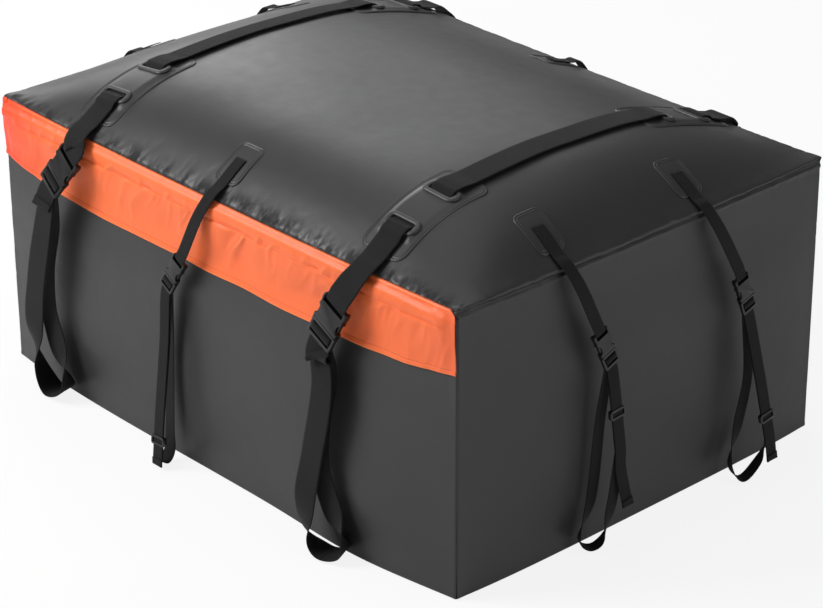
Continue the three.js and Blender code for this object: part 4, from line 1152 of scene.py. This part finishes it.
def make_tape(name, sign):
    """A woven tape, thick along the edge that carries one half of the coil."""
    near = sign * COIL_SPLIT / 2
    far = near + sign * TAPE_WIDTH
    cord = near + sign * (COIL_WIDTH + 0.6)
    up, out = np.transpose([
        (near + sign * 0.3, 2.7), (cord, 2.75), (cord + sign * 0.5, 3.4), (far - sign * 5, 3.4),
        (far - sign * 3.4, 3.0), (far - sign * 1.5, 1.3), (far, 1.1), (far, 0.4), (far - sign * 2, 0.4),
        (far - sign * 4.6, 2.6), (near + sign * 0.3, 2.6)])
    points = np.array([zip_point(x, up, out) for x in np.linspace(-ZIP_LENGTH / 2, ZIP_LENGTH / 2, 200)])
    tape = make_object(name + "_cloth", points, tube_faces(*points.shape[:2], flip=sign > 0), TAPE)
    place(tape, "bag", "zip_tape", name)


def make_teeth():
    """The coil's loops, each a small bent wire that locks with the next."""
    path = [(3.6, 3.1), (3.3, 4.3), (1.6, 4.5), (0.2, 4.1), (-0.1, 3.6), (0.2, 3.1)]
    ring = [(math.cos(v), math.sin(v)) for v in np.linspace(0, 2 * math.pi, 6)[:-1]]
    for sign, name in ((1, "upper"), (-1, "lower")):
        points, faces = [], []
        for k in range(int(ZIP_LENGTH / TOOTH_PITCH) - 1):
            x = -ZIP_LENGTH / 2 + (k + 1 + 0.25 * sign) * TOOTH_PITCH
            faces += tube_faces(len(path), len(ring), len(points))
            points += [zip_point(x + 0.42 * c, sign * (up + 0.1 * s), out + 0.35 * s)
                       for up, out in path for c, s in ring]
        place(make_object("zip_teeth_" + name, np.array(points), faces, TAPE), "bag", "zip_tape")


make_flap()
make_tape("zipper_tape_upper", 1)
make_tape("zipper_tape_lower", -1)
make_teeth()
refined("zip_slider_body", "zipper_slider", METAL, "zip_slider", "zip_metal", 0.3)
refined("zip_pull_tab", "zipper_pull", METAL, "zip_pull", "zip_metal", 0.3)


# Studio

def floor_material():
    """White floor; the camera sees it evenly bright, with a soft shadow."""
    n = material("studio_floor")
    path = n.add("LightPath").outputs
    seen = n.math("MULTIPLY", path["Is Camera Ray"], 0.86)
    share = n.math("MULTIPLY_ADD", path["Is Glossy Ray"], 0.35, seen)
    n.show("Material Output", share, n.add("Emission", {"Color": WHITE, "Strength": 1.0}))
    return n.shade(Base_Color=(0.92, 0.92, 0.92, 1), Roughness=0.9)


def make_floor():
    size = 12000.0
    points = [(-size, -size, -1), (size, -size, -1), (size, size, -1), (-size, size, -1)]
    floor = make_object("studio_floor", np.array(points), [[0, 1, 2, 3]], floor_material())


def area_light(name, place_at, target, size, power):
    data = bpy.data.lights.new(name, "AREA")
    data.shape = "RECTANGLE"
    data.size, data.size_y = size
    data.energy = power
    light = linked(name, data)
    light.location = place_at
    light.rotation_euler = (Vector(target) - Vector(place_at)).to_track_quat("-Z", "Y").to_euler()


def make_world():
    """Soft white light from all round, and a white backdrop for the camera."""
    n = Nodes(bpy.data.worlds.new("studio"), "Background")
    seen = n.add("LightPath").outputs["Is Camera Ray"]
    n.show("World Output", seen, n.add("Background", {"Color": WHITE, "Strength": 1.0}))
    bpy.context.scene.world = n.shade(Color=WHITE, Strength=0.17)


make_floor()
make_world()
area_light("key", (-2.5, -3.3, 3.4), (0.05, 0, 0.4), (2.4, 2.0), 224)
area_light("top", (-0.4, 0.2, 3.8), (0, 0, 0.5), (3.0, 3.0), 29)
area_light("right", (4.4, 0.9, 1.6), (0.5, 0, 0.3), (2.0, 1.6), 38)
area_light("back", (-3.8, 1.5, 2.0), (-0.1, 0, 0.6), (2.2, 1.8), 32)
area_light("rear", (-3.3, 2.7, 2.6), (-0.1, 0, 0.6), (2.2, 1.8), 22)

scene = bpy.context.scene
scene.view_settings.view_transform = "Standard"


# Patches: which ones carry the wide straps


for patch in [p for p in scene.objects if p.name.endswith("_patch_fabric")]:
    wide = patch.name.split("_")[1] in ("right", "left")
